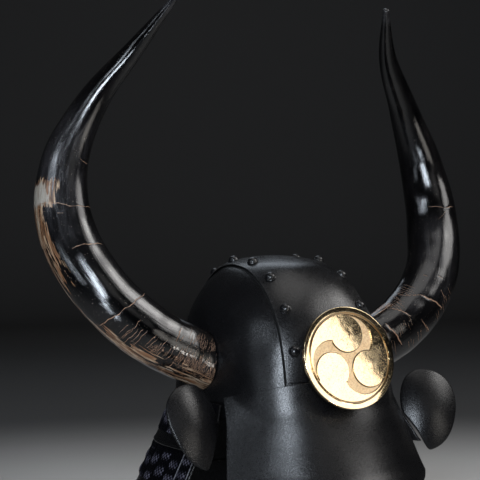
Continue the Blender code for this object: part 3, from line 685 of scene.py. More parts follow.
class Shader:
    """A new material with short ways to add its nodes."""

    def __init__(self, name, **constants):
        self.material = bpy.data.materials.new(name)
        self.material.use_nodes = True
        self.tree = self.material.node_tree
        self.body = self.tree.nodes["Principled BSDF"]
        for key, value in constants.items():
            self.body.inputs[key.replace("_", " ").title().replace("Ior", "IOR")].default_value = value

    def fill(self, socket, value):
        """Sets a socket, or links another one to it."""
        if isinstance(value, bpy.types.NodeSocket):
            self.tree.links.new(value, socket)
        else:
            socket.default_value = value

    def node(self, kind, inputs=None, **settings):
        made = self.tree.nodes.new("ShaderNode" + kind)
        for key, value in settings.items():
            setattr(made, key, value)
        for key, value in (inputs or {}).items():
            self.fill(made.inputs[key], value)
        return made

    def place(self, stretch=(1.0, 1.0, 1.0), attribute=None):
        """Object coordinates in metres, or a stored attribute, stretched along each axis."""
        if attribute:
            source = self.node("Attribute", attribute_name=attribute).outputs["Vector"]
        else:
            source = self.node("TexCoord").outputs["Object"]
        return self.node("Mapping", {"Vector": source, "Scale": stretch}).outputs["Vector"]

    def value(self, attribute):
        return self.node("Attribute", attribute_name=attribute).outputs["Fac"]

    def noise(self, place, size, detail=3.0, roughness=0.55, distortion=0.0):
        """Noise whose waves are about a size in millimetres."""
        inputs = {
            "Vector": place,
            "Scale": 1.0 / (size * MM),
            "Detail": detail,
            "Roughness": roughness,
            "Distortion": distortion,
        }
        return self.node("TexNoise", inputs).outputs["Fac"]

    def cells(self, place, size):
        inputs = {"Vector": place, "Scale": 1.0 / (size * MM)}
        return self.node("TexVoronoi", inputs).outputs["Distance"]

    def range(self, value, low, high, to_low=0.0, to_high=1.0):
        inputs = {"Value": value, "From Min": low, "From Max": high, "To Min": to_low, "To Max": to_high}
        return self.node("MapRange", inputs, interpolation_type="SMOOTHSTEP").outputs["Result"]

    def math(self, operation, a, b=0.0):
        return self.node("Math", {0: a, 1: b}, operation=operation).outputs["Value"]

    def times(self, a, b):
        return self.math("MULTIPLY", a, b)

    def plus(self, a, b):
        return self.math("ADD", a, b)

    def most(self, a, b):
        return self.math("MAXIMUM", a, b)

    def away(self, value, middle):
        """How far a value lies from a middle one, to either side."""
        return self.math("ABSOLUTE", self.math("SUBTRACT", value, middle))

    def swing(self, noise, gain):
        """A noise's swing about its middle, as strong as the gain says."""
        return self.times(self.math("SUBTRACT", noise, 0.5), gain)

    def mix(self, share, a, b):
        made = self.node("Mix", data_type="RGBA")
        for index, value in ((0, share), (6, a), (7, b)):
            self.fill(made.inputs[index], (*value, 1.0) if isinstance(value, tuple) else value)
        return made.outputs[2]

    def tint(self, colour, share, strength, other):
        """A colour drawn towards another one by a share, as strongly as the strength says."""
        return self.mix(self.times(share, strength), colour, other)

    def done(self, colour, roughness=None, *bumps):
        """The material with its colour, roughness and layers of (height, depth in mm, strength) bumps."""
        normal = None
        for height, depth, strength in bumps:
            inputs = {"Height": height, "Distance": depth * MM, "Strength": strength}
            if normal is not None:
                inputs["Normal"] = normal
            normal = self.node("Bump", inputs).outputs["Normal"]
        for key, value in (("Base Color", colour), ("Roughness", roughness), ("Normal", normal)):
            if value is not None:
                self.fill(self.body.inputs[key], value)
        return self.material


def lacquer_look(name, gloss):
    """Satin black lacquer with a fine pebbled grain, worn edges that are also a painted highlight, and a
    painted shadow line along the crown's seam.
    """
    s = Shader(name, specular_ior_level=gloss)
    place = s.place()
    grain = s.noise(place, 0.95, detail=1.0, roughness=0.5)
    patches = s.noise(place, 34.0, detail=4.0)
    specks = s.range(s.noise(place, 1.2, detail=1.0), 0.66, 0.74)
    # The crown plate's edges are lightened as worn lacquer and also as a painted highlight along the edge.
    wear_and_highlight = s.times(s.value("worn"), s.range(s.noise(place, 5.0), 0.35, 0.62))
    # A painted shadow line beside the crown plate's edge, together with a groove bump and duller lacquer.
    seam = s.range(s.away(s.value("seam"), SEAM_MARK + 0.9), 0.45, 1.15, 1.0, 0.0)
    colour = s.mix(patches, (0.0026, 0.0026, 0.0031), (0.0048, 0.0047, 0.0053))
    colour = s.tint(colour, specks, 0.35, (0.045, 0.046, 0.052))
    colour = s.tint(colour, wear_and_highlight, 0.55, (0.070, 0.068, 0.067))
    colour = s.mix(seam, colour, (0.0006, 0.0006, 0.0006))
    roughness = s.range(s.plus(s.times(patches, 0.35), grain), 0.38, 0.94, 0.20, 0.35)
    roughness = s.most(roughness, s.times(seam, 0.95))
    return s.done(colour, roughness, (grain, 0.15, 1.0), (seam, -1.0, 1.0))


def rivet_look():
    """Glossy black lacquer on iron, dulled a little in patches."""
    s = Shader("rivet_black", specular_ior_level=0.55)
    patches = s.noise(s.place(), 3.0)
    colour = s.mix(patches, (0.003, 0.003, 0.0035), (0.008, 0.008, 0.009))
    return s.done(colour, s.range(patches, 0.3, 0.8, 0.18, 0.28), (patches, 0.012, 0.5))


def horn_look():
    """Polished dark horn with smoky zones, pale torn streaks, growth cracks and long fibres."""
    s = Shader("polished_horn", specular_ior_level=0.60)

    def drawn_out(along, across=1.0):
        """Places on the straightened horn, stretched along it and across it."""
        return s.place((across, across, along), "straight")

    fibres = s.noise(drawn_out(0.06), 2.0, detail=4.0, roughness=0.65)
    broad = s.noise(drawn_out(0.22), 8.0, detail=5.0, roughness=0.62, distortion=0.7)
    tones = s.noise(drawn_out(0.16, 1.1), 5.0, detail=4.0, roughness=0.6, distortion=0.5)
    clouds = s.noise(drawn_out(0.45), 26.0)
    lines = s.noise(drawn_out(1.0, 0.20), 2.4, distortion=0.9)
    pale = s.value("pale")
    dark = s.mix(s.range(clouds, 0.35, 0.75), (0.0008, 0.0008, 0.0010), (0.0050, 0.0046, 0.0050))
    streaks = s.times(s.range(fibres, 0.52, 0.80), s.range(clouds, 0.45, 0.70))
    dark = s.tint(dark, streaks, 0.25, (0.045, 0.038, 0.034))
    haze = s.times(s.value("smoky"), s.range(s.plus(tones, s.times(fibres, 0.4)), 0.35, 1.05))
    dark = s.mix(haze, dark, (0.027, 0.026, 0.028))
    brown = s.mix(s.range(fibres, 0.35, 0.65), (0.008, 0.004, 0.003), (0.22, 0.105, 0.050))
    warm = s.mix(s.range(tones, 0.46, 0.62), brown, (0.42, 0.300, 0.200))
    cream = s.mix(s.range(fibres, 0.25, 0.62), (0.20, 0.160, 0.120), (0.36, 0.33, 0.285))
    light = s.mix(s.range(s.plus(pale, s.swing(tones, 1.6)), 0.88, 1.10), warm, cream)
    edge = s.plus(s.plus(pale, s.swing(broad, 3.0)), s.swing(fibres, 2.0))
    share = s.times(s.range(edge, 0.50, 0.64), s.range(pale, 0.06, 0.30))
    colour = s.mix(share, dark, light)
    hairs = s.range(s.away(lines, 0.5), 0.0, 0.012, 1.0, 0.0)
    hairs = s.times(hairs, s.range(s.plus(pale, s.value("fine")), 0.30, 0.80))
    colour = s.tint(colour, hairs, 0.5, (0.20, 0.11, 0.065))
    crack = s.range(s.math("ABSOLUTE", s.value("crack")), 0.35, 1.15, 1.0, 0.0)
    crack = s.times(crack, s.range(s.value("near"), 0.70, 0.80))
    crack = s.times(crack, s.range(s.noise(s.place(), 2.6, detail=2.0), 0.30, 0.50, 0.30, 1.0))
    colour = s.mix(crack, colour, (0.29, 0.165, 0.100))
    flecks = s.range(s.noise(drawn_out(0.7), 1.3, detail=1.0), 0.71, 0.77)
    colour = s.tint(colour, flecks, 0.5, (0.22, 0.18, 0.15))
    dull = s.most(s.most(s.times(crack, 0.7), s.times(share, 0.42)), s.times(haze, 0.36))
    roughness = s.range(s.plus(dull, s.times(clouds, 0.30)), 0.08, 1.1, 0.085, 0.60)
    pits = s.range(s.cells(drawn_out(0.6), 5.5), 0.0, 0.10)
    grain = ((fibres, 0.22, 0.8), (broad, 0.22, 0.5), (pits, 0.06, 0.5))
    return s.done(colour, roughness, *grain, (crack, -0.25, 0.8))


def braid_look():
    """Dark blue silk braid with painted light: lighter where its crossing strands stand up and on their
    lumps, darker in the gaps between them.
    """
    s = Shader("blue_black_braid", specular_ior_level=0.08)
    threads = s.noise(s.place((1.0, 1.0, 0.35)), 0.6, detail=2.0)
    patches = s.noise(s.place(), 13.0)
    # Painted light: the raised strands are lighter and the gaps darker, with a painted shadow under the lame
    # above.
    top = s.range(s.value("strand"), 0.30, 0.72)
    painted_thread_sheen = s.times(s.range(threads, 0.45, 0.8), s.times(top, 0.4))
    colour = s.mix(top, (0.0008, 0.0009, 0.0020), (0.034, 0.033, 0.050))
    # A painted highlight on the raised strands, in patches, and a painted sheen on their threads.
    colour = s.mix(s.times(s.range(patches, 0.40, 0.56), top), colour, (0.125, 0.120, 0.155))
    colour = s.mix(painted_thread_sheen, colour, (0.120, 0.120, 0.160))
    return s.done(colour, s.range(threads, 0.3, 0.8, 0.55, 0.80), (threads, 0.12, 0.8))


def cord_look():
    """Pale grey twisted silk cord."""
    s = Shader("grey_cord", specular_ior_level=0.4)
    twist = s.noise(s.place((1.0, 1.0, 0.5)), 0.9)
    colour = s.mix(s.range(twist, 0.35, 0.65), (0.06, 0.06, 0.07), (0.17, 0.17, 0.19))
    return s.done(colour, s.range(twist, 0.3, 0.7, 0.70, 0.50), (twist, 0.25, 0.8))


def gilt_look():
    """Polished gilding with an orange-peel skin, fine specks and a warm tarnish."""
    s = Shader("polished_gilt", metallic=1.0)
    place = s.place()
    dents = s.noise(place, 11.0, detail=1.0)
    peel = s.noise(place, 1.6, detail=2.0)
    patches = s.noise(place, 17.0, detail=4.0)
    spots = s.range(s.noise(place, 1.1, detail=1.0), 0.55, 0.66)
    stain = s.range(s.noise(place, 6.0, detail=5.0, roughness=0.7), 0.48, 0.68)
    colour = s.mix(patches, (0.88, 0.66, 0.38), (0.95, 0.80, 0.56))
    colour = s.tint(colour, stain, 0.25, (0.62, 0.50, 0.27))
    colour = s.tint(colour, spots, 0.45, (0.46, 0.40, 0.26))
    roughness = s.range(s.plus(patches, s.times(spots, 0.6)), 0.35, 1.2, 0.03, 0.16)
    return s.done(colour, roughness, (peel, 0.012, 0.6), (dents, 0.06, 0.6))


def ground_look():
    """Matt gilding of the recessed ground, with a fine punched grain and painted shade in its corners."""
    s = Shader("matt_gilt", metallic=1.0)
    place = s.place()
    grain = s.noise(place, 1.7, detail=2.0)
    patches = s.noise(place, 9.0, detail=4.0)
    # Painted shade along the commas' edges and in the groove inside the rim.
    corner_shade = s.range(s.value("hollow"), 0.15, 0.75)
    colour = s.mix(patches, (0.96, 0.70, 0.42), (1.0, 0.82, 0.56))
    colour = s.mix(s.range(grain, 0.42, 0.64, 0.0, 0.45), colour, (0.60, 0.36, 0.18))
    colour = s.tint(colour, corner_shade, 0.94, (0.030, 0.013, 0.006))
    return s.done(colour, s.range(patches, 0.3, 0.8, 0.28, 0.36), (grain, 0.30, 0.8))


def iron_look():
    """Dark worn iron of the hidden fittings."""
    s = Shader("dark_iron", metallic=0.9)
    place = s.place()
    patches = s.noise(place, 7.0, detail=5.0)
    colour = s.mix(patches, (0.035, 0.032, 0.030), (0.13, 0.115, 0.10))
    return s.done(colour, s.range(patches, 0.3, 0.8, 0.32, 0.62), (s.noise(place, 1.2), 0.05, 0.7))


def floor_look():
    """Pale matt paper with a painted pool of light: it darkens with the distance from the helmet."""
    s = Shader("pale_floor", specular_ior_level=0.1, roughness=0.9)
    flat = s.place((1.0, 1.0, 0.0))
    away = s.node("VectorMath", {0: flat}, operation="LENGTH").outputs["Value"]
    paper = s.mix(s.noise(s.place(), 900.0), (0.52, 0.515, 0.505), (0.56, 0.555, 0.545))
    # A painted falloff of light: dark grey far from the helmet.
    return s.done(s.mix(s.range(away, 0.25, 1.15), paper, (0.070, 0.070, 0.071)))


LACQUER = lacquer_look("black_lacquer", 0.50)
DULL_LACQUER = lacquer_look("dull_black_lacquer", 0.34)
RIVET = rivet_look()
HORN = horn_look()
BRAID = braid_look()
CORD = cord_look()
GILT = gilt_look()
GROUND = ground_look()
IRON = iron_look()


# Bowl and brow


def crown_half_width(y):
    return CROWN_HALF_WIDTH + CROWN_FLARE * np.maximum(0.0, -y / BOWL_FRONT)


def brow_top(x):
    """Depth of the brow plate's upper edge."""
    return BOWL_DEPTH - BROW_LAP + BROW_TOP_DROP * np.abs(x / BOWL_HALF_WIDTH) ** 3


def crown_surface(across, along, offset):
    """Across and along run from -1 to 1, along from the front end to the rear end."""
    x_front = across * crown_half_width(-BOWL_FRONT)
    y_front = bowl_y(x_front, brow_top(x_front) - GAP, True)
    y_rear = bowl_y(across * CROWN_HALF_WIDTH, BOWL_DEPTH, False)
    y = np.where(along < 0, y_front, y_rear) * np.sin(math.pi / 2 * np.abs(along))
    return bowl_surface(across * crown_half_width(y), y, offset)


def make_crown():
    """The raised plate over the crown. Its long edges stand a little clear and are lighter, as worn lacquer
    with a painted highlight along them.
    """
    columns, rows = CROWN_GRID
    turn = np.linspace(-1, 1, columns) * CROWN_TURN * math.pi / 2
    along, across = np.meshgrid(np.linspace(-1, 1, rows), np.sin(turn) / math.sin(turn[-1]), indexing="ij")
    base = crown_surface(across, along, 0.0)
    normals = unit(crown_surface(across, along, 1.0) - base)
    from_edge = (1 - np.abs(across)) * CROWN_HALF_WIDTH
    outer = base + normals * (CROWN_FACE + ripple(base, "crown"))[..., None]
    inner = base + normals * (PLATE_GAP + CROWN_EDGE_LIFT * np.exp(-from_edge / LIFT_REACH))[..., None]
    # The edges' wear, which the lacquer also uses for a painted highlight along them.
    worn = np.exp(-from_edge / WEAR_AND_HIGHLIGHT_REACH).ravel()
    attributes = {"worn": np.concatenate([worn, np.zeros(len(worn))])}
    wall("lacquered_crown", outer, inner, "crown_plate", bevel=0.4, attributes=attributes)


def side_edge(y):
    """How far out a side plate's upper edge lies, hidden under the crown plate."""
    return crown_half_width(y) - CROWN_LAP


def side_surface(angle, row, offset):
    """Rows run from the rim up to where the crown plate covers the side plate."""
    low, high = np.zeros_like(angle), np.ones_like(angle)
    for _ in range(HALVINGS):
        middle = (low + high) / 2
        x, y = plan_point(angle, middle)
        under = x < side_edge(y)
        low, high = np.where(under, middle, low), np.where(under, high, middle)
    x, y = plan_point(angle, 1.0 + (high - 1.0) * row)
    return bowl_surface(x, y, offset)


def side_reach(sign):
    """The largest angle from +X at which the side plate still has some height."""
    angles = np.linspace(0, math.pi / 2, ANGLE_STEPS)
    x, y = plan_point(sign * angles, np.ones_like(angles))
    return angles[np.argmax(x <= side_edge(y) + SIDE_LEAST)]


def make_sides():
    """The bowl's side plates, with the distance to the crown plate's edge kept for the painted shadow line
    and groove along the seam.
    """
    columns, rows = SIDE_GRID
    angle = np.linspace(-side_reach(-1), side_reach(1), columns)
    angle, row = np.meshgrid(angle, np.linspace(0, 1, rows) ** SIDE_CROWDING)
    base = side_surface(angle, row, 0.0)
    normals = unit(side_surface(angle, row, 1.0) - base)
    beside = base[..., 0] - crown_half_width(base[..., 1]) + SEAM_MARK
    seam = {"seam": np.tile(beside.ravel(), 2)}
    for word, side in SIDES:
        outer = (base + normals * ripple(base, f"side_{word}")[..., None]) * (side, 1, 1)
        inner = (base - normals * BOWL_WALL) * (side, 1, 1)
        wall(f"lacquered_side_{word}", outer, inner, f"side_plate_{word}", attributes=seam)


def rivet_seats():
    """Places along the crown plate's edge, a pitch apart, as plan positions."""
    seats = []
    for sign, first, reach in ((-1, RIVET_PITCH - RIVET_FIRST, BOWL_FRONT), (1, RIVET_FIRST, BOWL_REAR)):
        y = sign * np.arange(0, reach, SEAT_STEP)
        x = crown_half_width(y) - RIVET_EDGE
        gone = travelled(bowl_surface(x, y, CROWN_FACE))
        for k in range(RIVET_COUNT):
            i = int(np.argmax(gone >= first + RIVET_PITCH * k))
            seats.append((x[i], y[i]))
    return seats


def make_rivets():
    dome = RIVET_HEIGHT - RIVET_COLLAR
    profile = [(0, 0), (RIVET_RADIUS, 0), (RIVET_RADIUS, RIVET_COLLAR * RIVET_LIP)]
    profile.append((RIVET_RADIUS - RIVET_EASE, RIVET_COLLAR * RIVET_SHOULDER))
    profile.append((RIVET_RADIUS * RIVET_NECK, RIVET_COLLAR))
    for turn in np.radians(np.linspace(6, 84, 12)):
        profile.append((RIVET_RADIUS * RIVET_DOME * math.cos(turn), RIVET_COLLAR + dome * math.sin(turn)))
    profile.append((0, RIVET_HEIGHT))
    points, faces = turned_mesh(profile, RIVET_SIDES)
    for number, (x, y) in enumerate(rivet_seats(), start=1):
        seat = bowl_surface(x, y, CROWN_FACE + GAP - RIVET_SINK)
        out = seat - bowl_surface(x, y, 0.0)
        for word, side in SIDES:
            placing = facing(out * (side, 1, 1), seat * (side, 1, 1))
            nodes = [f"rivet_{word}_{number}"]
            piece(f"domed_rivet_{word}_{number}", placed(points, placing), faces, RIVET, nodes)


def brow_surface(across, down):
    """The brow plate's outer face, from its upper to its lower edge."""
    start = brow_top(0.0)
    top = brow_top(across * BOWL_HALF_WIDTH)
    bottom = start + BROW_HEIGHT * smooth_table(BROW_EDGE, np.abs(across))[..., 0]
    depth = top + (bottom - top) * down
    rows = smooth_table(BROW_SECTIONS, (depth - start) / BROW_HEIGHT)
    flare, corner, reach, power = np.moveaxis(rows, -1, 0)
    x = across * (BOWL_HALF_WIDTH + BROW_FLARE * flare)
    rear = BOWL_FRONT * corner
    front = BOWL_FRONT + BROW_REACH * reach
    y = -(rear + (front - rear) * (1 - np.abs(across) ** power))
    own, clear = -y, -bowl_y(x, depth, True, PLATE_GAP + BROW_WALL)
    close = np.maximum(0.0, BROW_BLEND - np.abs(own - clear))
    joined = np.maximum(own, clear) + close**2 / (4 * BROW_BLEND)
    below = np.clip((depth - BOWL_DEPTH) / BROW_FADE, 0, 1)
    pushed = (joined - own) * (1 - below * below * (3 - 2 * below))
    return np.stack([x, y - pushed, -depth], -1)


def make_brow():
    columns, rows = BROW_GRID
    turn, down = np.meshgrid(np.linspace(-1, 1, columns), np.linspace(0, 1, rows))
    across = np.sin(turn * math.pi / 2 * BROW_TURN) / math.sin(math.pi / 2 * BROW_TURN)
    outer = brow_surface(across, down)
    normals = grid_normals(outer)
    inner = outer - normals * BROW_WALL
    outer = outer + normals * ripple(outer, "brow")[..., None]
    wall("lacquered_brow", outer, inner, "brow_plate", bevel=0.6)


# Neck guard


def ear_placing(side):
    """Local X runs outwards, local Y upwards and local Z out of the plate's front face."""
    turn, lean = math.radians(EAR_TURN), math.radians(EAR_LEAN)
    outwards = np.array([math.cos(turn), -math.sin(turn), 0])
    level = np.array([-math.sin(turn), -math.cos(turn), 0])
    normal = level * math.cos(lean) + np.array([0, 0, math.sin(lean)])
    upwards = np.cross(normal, outwards)
    at = (BOWL_HALF_WIDTH + EAR_BESIDE_BOWL, -EAR_FORWARD, -BOWL_DEPTH - EAR_BELOW_RIM)
    placing = placing_of(outwards, upwards * np.sign(upwards[2]), normal, at)
    placing[0] *= side
    return placing


def ear_back_y(x, z):
    """How far along Y the back of the wearer's left ear plate's rim lies."""
    placing = ear_placing(1)
    normal = placing[:3, 2]
    middle = placing[:3, 3] - normal * (EAR_CROWNING + EAR_WALL + 2 * GAP)
    return middle[1] - ((x - middle[0]) * normal[0] + (z - middle[2]) * normal[2]) / normal[1]


def lame_half_width(number, depth):
    """Half width of a lame's outer face. Each lame starts inside the one above."""
    step = (LAME_WALL + GAP) * math.hypot(1.0, LAME_FLARE) * (number - 1)
    return BOWL_HALF_WIDTH + LAME_FLARE * (depth - BOWL_DEPTH - LAME_BELOW_RIM) - step


def lame_line(number, depth, out, setback, shares):
    """Points at shares of the way round a lame, from the left front end to the right one."""
    half_width = lame_half_width(number, depth)
    front = (LAME_FRONT if number > 1 else -ear_back_y(half_width + EAR_CURL, -depth)) - setback
    curl = EAR_CURL if number == 1 and setback == 0 else 0.0
    face = half_width + out * math.hypot(1.0, LAME_FLARE)
    rear = face + BOWL_REAR - BOWL_HALF_WIDTH
    y = -front * (1 - np.linspace(0, 1, SIDE_STEPS)[:-1])
    bend = np.maximum(0.0, 1 - (y + front) / (3 * EAR_CURL)) ** 2
    turn = np.linspace(0, math.pi, REAR_STEPS)
    across, behind = np.abs(np.cos(turn)), np.sin(turn)
    reach = (across**SQUARENESS_REAR + behind**SQUARENESS_REAR) ** (-1 / SQUARENESS_REAR)
    x = np.concatenate([face + curl * bend, face * reach * np.cos(turn), -(face + curl * bend)[::-1]])
    y = np.concatenate([y, rear * reach * np.sin(turn), y[::-1]])
    gone = np.concatenate([[0], np.cumsum(np.hypot(np.diff(x), np.diff(y)))])
    at = shares * gone[-1]
    plan = np.stack([np.interp(at, gone, x), np.interp(at, gone, y)], -1)
    return np.concatenate([plan, np.full((len(at), 1), -depth)], -1), gone[-1]


def lame_grid(number, depths, setback, shares, out):
    """A face round a lame, lifted from the lame's outer face by out, one value or a grid of them."""
    base = np.stack([lame_line(number, d, 0.0, setback, shares)[0] for d in depths])
    lifted = np.stack([lame_line(number, d, 1.0, setback, shares)[0] for d in depths])
    return base + (lifted - base) * np.broadcast_to(out, base.shape[:2])[..., None]


def make_lame(number, top, bottom):
    """A lacquered lame with a soft bead along its lower edge."""
    start = top - LAME_LAP if number > 1 else top
    wide, close = LAME_ROWS
    bead = bottom - BEAD_ZONE
    depths = np.concatenate([np.linspace(start, bead - 1, wide), np.linspace(bead, bottom, close)])
    shares = np.linspace(0, 1, LAME_COLUMNS)
    rise = LAME_BEAD * np.exp(-(((bottom - depths - BEAD_MIDDLE) / BEAD_REACH) ** 2))
    outer = lame_grid(number, depths, 0.0, shares, rise[:, None])
    inner = lame_grid(number, depths, 0.0, shares, -LAME_WALL)
    wall(f"lacquered_lame_{number}", outer, inner, f"neck_lame_{number}")


def braid_relief(count, rows, length, seed):
    """Height of the braids over their lame, and their painted light on a fine grid: how far up their strands
    stand, with painted shade between the lumps and a painted shadow at their upper ends.
    """
    draw = np.random.default_rng(seed)
    steps = round(BRAID_PITCH / WEAVE_ACROSS * STEPS_ACROSS)
    index = np.arange(count * steps + 1)
    braid = np.minimum(index // steps, count - 1)
    across = ((index - braid * steps) / steps - 0.5) * BRAID_PITCH
    full, phase, swells, lean, shift = (draw.uniform(*limits, count)[braid] for limits in BRAID_SPREAD)
    down = np.linspace(0, length, rows)[:, None]
    side = np.abs((across - shift) / BRAID_HALF_WIDTH)
    end = np.maximum(0.0, 1 - np.minimum(down, length - down) / BRAID_END)
    dome = np.sqrt(np.maximum(0.0, 1 - side**BRAID_POWER - end**BRAID_POWER))
    swell = np.sin(math.pi * (down / length * swells + LUMP_SHIFT * phase)) ** 2
    lumps = BRAID_LOW + (1 - BRAID_LOW) * swell
    tilt = 1 + lean * across / BRAID_HALF_WIDTH
    a = across * 2 * math.pi / WEAVE_ACROSS
    b = (down / WEAVE_DOWN + phase) * 2 * math.pi
    weave = np.cos(a) * np.cos(b)
    body = BRAID_EDGE + (LACE_THICK - BRAID_EDGE - WEAVE_HEIGHT) * dome * full * lumps * tilt
    lift = GAP + body + WEAVE_HEIGHT * weave * np.sqrt(dome)
    # A painted shadow over the braids' upper ends, under the edge of the lame above.
    shade = np.clip(down / SHADED_TOP, 0, 1) ** 2
    strand = (0.5 + 0.5 * weave) * np.minimum(1.0, dome * STRAND_RISE) * lumps * shade
    return np.minimum(lift, GAP + LACE_THICK), strand


def make_lace(number, top, bottom):
    """A row of close-set flat braids, modelled strand by strand."""
    first, last = top + GAP, bottom - LACE_RIM
    length = (last - first) * math.hypot(1.0, LAME_FLARE)
    setback = EAR_CURL * 3 if number == 1 else LACE_SETBACK
    _, round_lame = lame_line(number, (first + last) / 2, 0.0, setback, np.zeros(1))
    count = round(round_lame / BRAID_PITCH)
    rows = round(length / WEAVE_DOWN * STEPS_DOWN) + 1
    lift, strand = braid_relief(count, rows, length, BRAID_SEED + number)
    columns = lift.shape[1]
    shares = np.linspace(0, 1, columns)
    outer = lame_grid(number, np.linspace(first, last, rows), setback, shares, lift)
    inner = lame_grid(number, (first, last), setback, shares, GAP)
    points = np.concatenate([outer.reshape(-1, 3), inner.reshape(-1, 3)])
    second, under = rows * columns, (rows - 1) * columns
    faces = grid_faces(rows, columns) + grid_faces(2, columns, start=second)
    for c in range(columns - 1):
        faces.append([c, second + c, second + c + 1, c + 1])
        faces.append([under + c, under + c + 1, second + columns + c + 1, second + columns + c])
    for c in (0, columns - 1):
        faces.append([r * columns + c for r in range(rows)] + [second + columns + c, second + c])
    attributes = {"strand": np.concatenate([strand.ravel(), np.zeros(2 * columns)])}
    name = f"lace_row_{number}"
    piece(f"braided_{name}", points, faces, BRAID, [name], sharp=180, attributes=attributes)
    if number > 1:
        make_piping(number, first + PIPING_START, bottom - LAME_BEAD * 3)


def make_piping(number, first, last):
    """Thin cords down a lame's front ends, one along the edge and one behind the first braid."""
    points, faces = [], []
    _, length = lame_line(number, first, 0.0, 0.0, np.zeros(1))
    depths = np.linspace(first, last, PIPING_STEPS)
    for inset in (PIPING_INSET, PIPING_INSET + PIPING_SPACING):
        for share in (inset / length, 1 - inset / length):
            line = lame_grid(number, depths, 0.0, np.array([share]), PIPING_LIFT)[:, 0]
            made, quads = tube(line, PIPING_RADIUS)
            faces += [[i + len(points) * len(made) for i in quad] for quad in quads]
            points.append(made)
    node = f"lace_row_{number}"
    piece(f"edge_piping_{number}", np.concatenate(points), faces, CORD, [node])


def make_neck_guard():
    for number in range(1, LAME_COUNT + 1):
        top = BOWL_DEPTH + LAME_BELOW_RIM + LAME_PITCH * (number - 1)
        make_lame(number, top, top + LAME_PITCH)
        make_lace(number, top, top + LAME_PITCH)


def closed_curve(corners, steps):
    """A smooth closed line through corners."""
    corners = np.asarray(corners, float)
    before, after, beyond = (np.roll(corners, k, axis=0) for k in (1, -1, -2))
    t = (np.arange(steps) / steps)[None, :, None]
    p0, p1, p2, p3 = (p[:, None] for p in (before, corners, after, beyond))
    line = p1 + 0.5 * t * (p2 - p0 + t * (2 * p0 - 5 * p1 + 4 * p2 - p3 + t * (3 * (p1 - p2) + p3 - p0)))
    return line.reshape(-1, 2)


def make_ears():
    """Leaf-shaped plates with a crowned face and a rounded rim."""
    outline = closed_curve(EAR_OUTLINE, 8) * (EAR_HALF_WIDTH, EAR_HALF_HEIGHT)
    outwards = unit(outline)
    half = EAR_WALL / 2
    inset = outline - outwards * (half + EAR_INSET)
    layers = [(inset * share, 0.0) for share in np.linspace(EAR_MIDDLE, 1.0, EAR_RINGS)]
    for turn in np.radians(np.linspace(20, 160, 8)):
        layers.append((inset + outwards * half * math.sin(turn), half * math.cos(turn) - half))
    layers += [(inset * share, -EAR_WALL) for share in np.linspace(1.0, EAR_MIDDLE, EAR_RINGS)]
    local = []
    for plan, height in layers:
        bow = ((plan / (EAR_HALF_WIDTH, EAR_HALF_HEIGHT)) ** 2).sum(axis=-1)
        local.append(np.column_stack([plan, height + EAR_DOME - (EAR_CROWNING + EAR_DOME) * bow]))
    local = np.concatenate(local)
    faces = lidded_faces(len(layers), len(outline))
    for word, side in SIDES:
        shaped = local.copy()
        shaped[:, 2] += ripple(local, f"ear_{word}")
        points = placed(shaped, ear_placing(side))
        nodes = [f"ear_plate_{word}"]
        piece(f"lacquered_ear_{word}", points, faces, DULL_LACQUER, nodes, sharp=80)


# Horns


def horn_line():
    """Centres, radii and distances along the horn's middle line, for the wearer's left horn."""
    rows = [(k / (len(HORN_SECTIONS) - 1), *row) for k, row in enumerate(HORN_SECTIONS)]
    out, back, rise, girth = smooth_table(rows, np.linspace(0, 1, HORN_SAMPLES)).T
    x = BOWL_HALF_WIDTH - HORN_ROOT_INSET + HORN_SPREAD * out
    y = -HORN_FORWARD + HORN_SWEEP * back
    z = HORN_ABOVE_RIM - BOWL_DEPTH + HORN_RISE * rise
    centres = np.stack([x, y, z], -1)
    return centres, HORN_RADIUS * girth, travelled(centres)


def horn_frames(side, at):
    """Centres, radii and cross directions of the horn at distances from its root."""
    centres, radii, gone = horn_line()
    place = at[..., None]

    def on_line(distance):
        return np.stack([np.interp(distance, gone, centres[:, k]) for k in range(3)], -1)

    start = unit(centres[START_SAMPLE] - centres[0])
    here = np.where(place < 0, centres[0] + place * start, on_line(at))
    before = np.where(place < 1.0, here - start, on_line(at - 1.0))
    near = np.where(place > gone[-1] - 1.0, here + (here - before), on_line(at + 1.0))
    near = np.where(place < 0, here + start, near)
    mirror = np.array([side, 1, 1])
    here, tangent = here * mirror, unit((near - before) * mirror)
    towards = camera_axes()[2]
    x = unit(towards - tangent * (tangent @ towards)[..., None])
    return here, np.interp(at, gone, radii), x, np.cross(tangent, x)


def horn_root(side, turn):
    """Distance from the root at which each line along the horn meets the bowl."""
    at = np.arange(*ROOT_SEARCH)
    centre, radius, x, y = horn_frames(side, at)
    points = centre[:, None] + radius[:, None, None] * spokes(x[:, None], y[:, None], turn)
    px, py, pz = np.moveaxis(points, -1, 0)
    slope_x, slope_y = bowl_slopes(px, py)
    off = (pz - bowl_height(px, py)) / np.sqrt(1 + slope_x**2 + slope_y**2)
    last = len(at) - 1 - np.argmax((off < HORN_SEAT)[::-1], axis=0)
    return at[last]


def lines_of_cracks(word):
    """Every crack of a horn as (mm, degrees, mm, degrees, half width)."""
    draw = np.random.default_rng(CRACK_SEED[word])
    found = [tuple(row) for row in HORN_CRACKS[word]]
    for first, last, count, start, end in CRACK_CLUSTERS[word]:
        for at in np.linspace(first, last, count):
            a = start + draw.uniform(-5, 9)
            b = end + draw.uniform(-14, 10)
            at += draw.uniform(-0.5, 0.5)
            found.append((at, a, at - draw.uniform(0.5, 2.5), b, draw.uniform(0.13, 0.26)))
    return found


def patch_field(rows, along, degrees):
    """The strongest of several soft oval patches over a horn's surface."""
    field = np.zeros(along.shape)
    for at, turn, length, spread, strength in rows:
        away = (degrees - turn + 180) % 360 - 180
        oval = np.exp(-(((along - at) / length) ** 4) - (away / spread) ** 4)
        field = np.maximum(field, strength * oval)
    return field


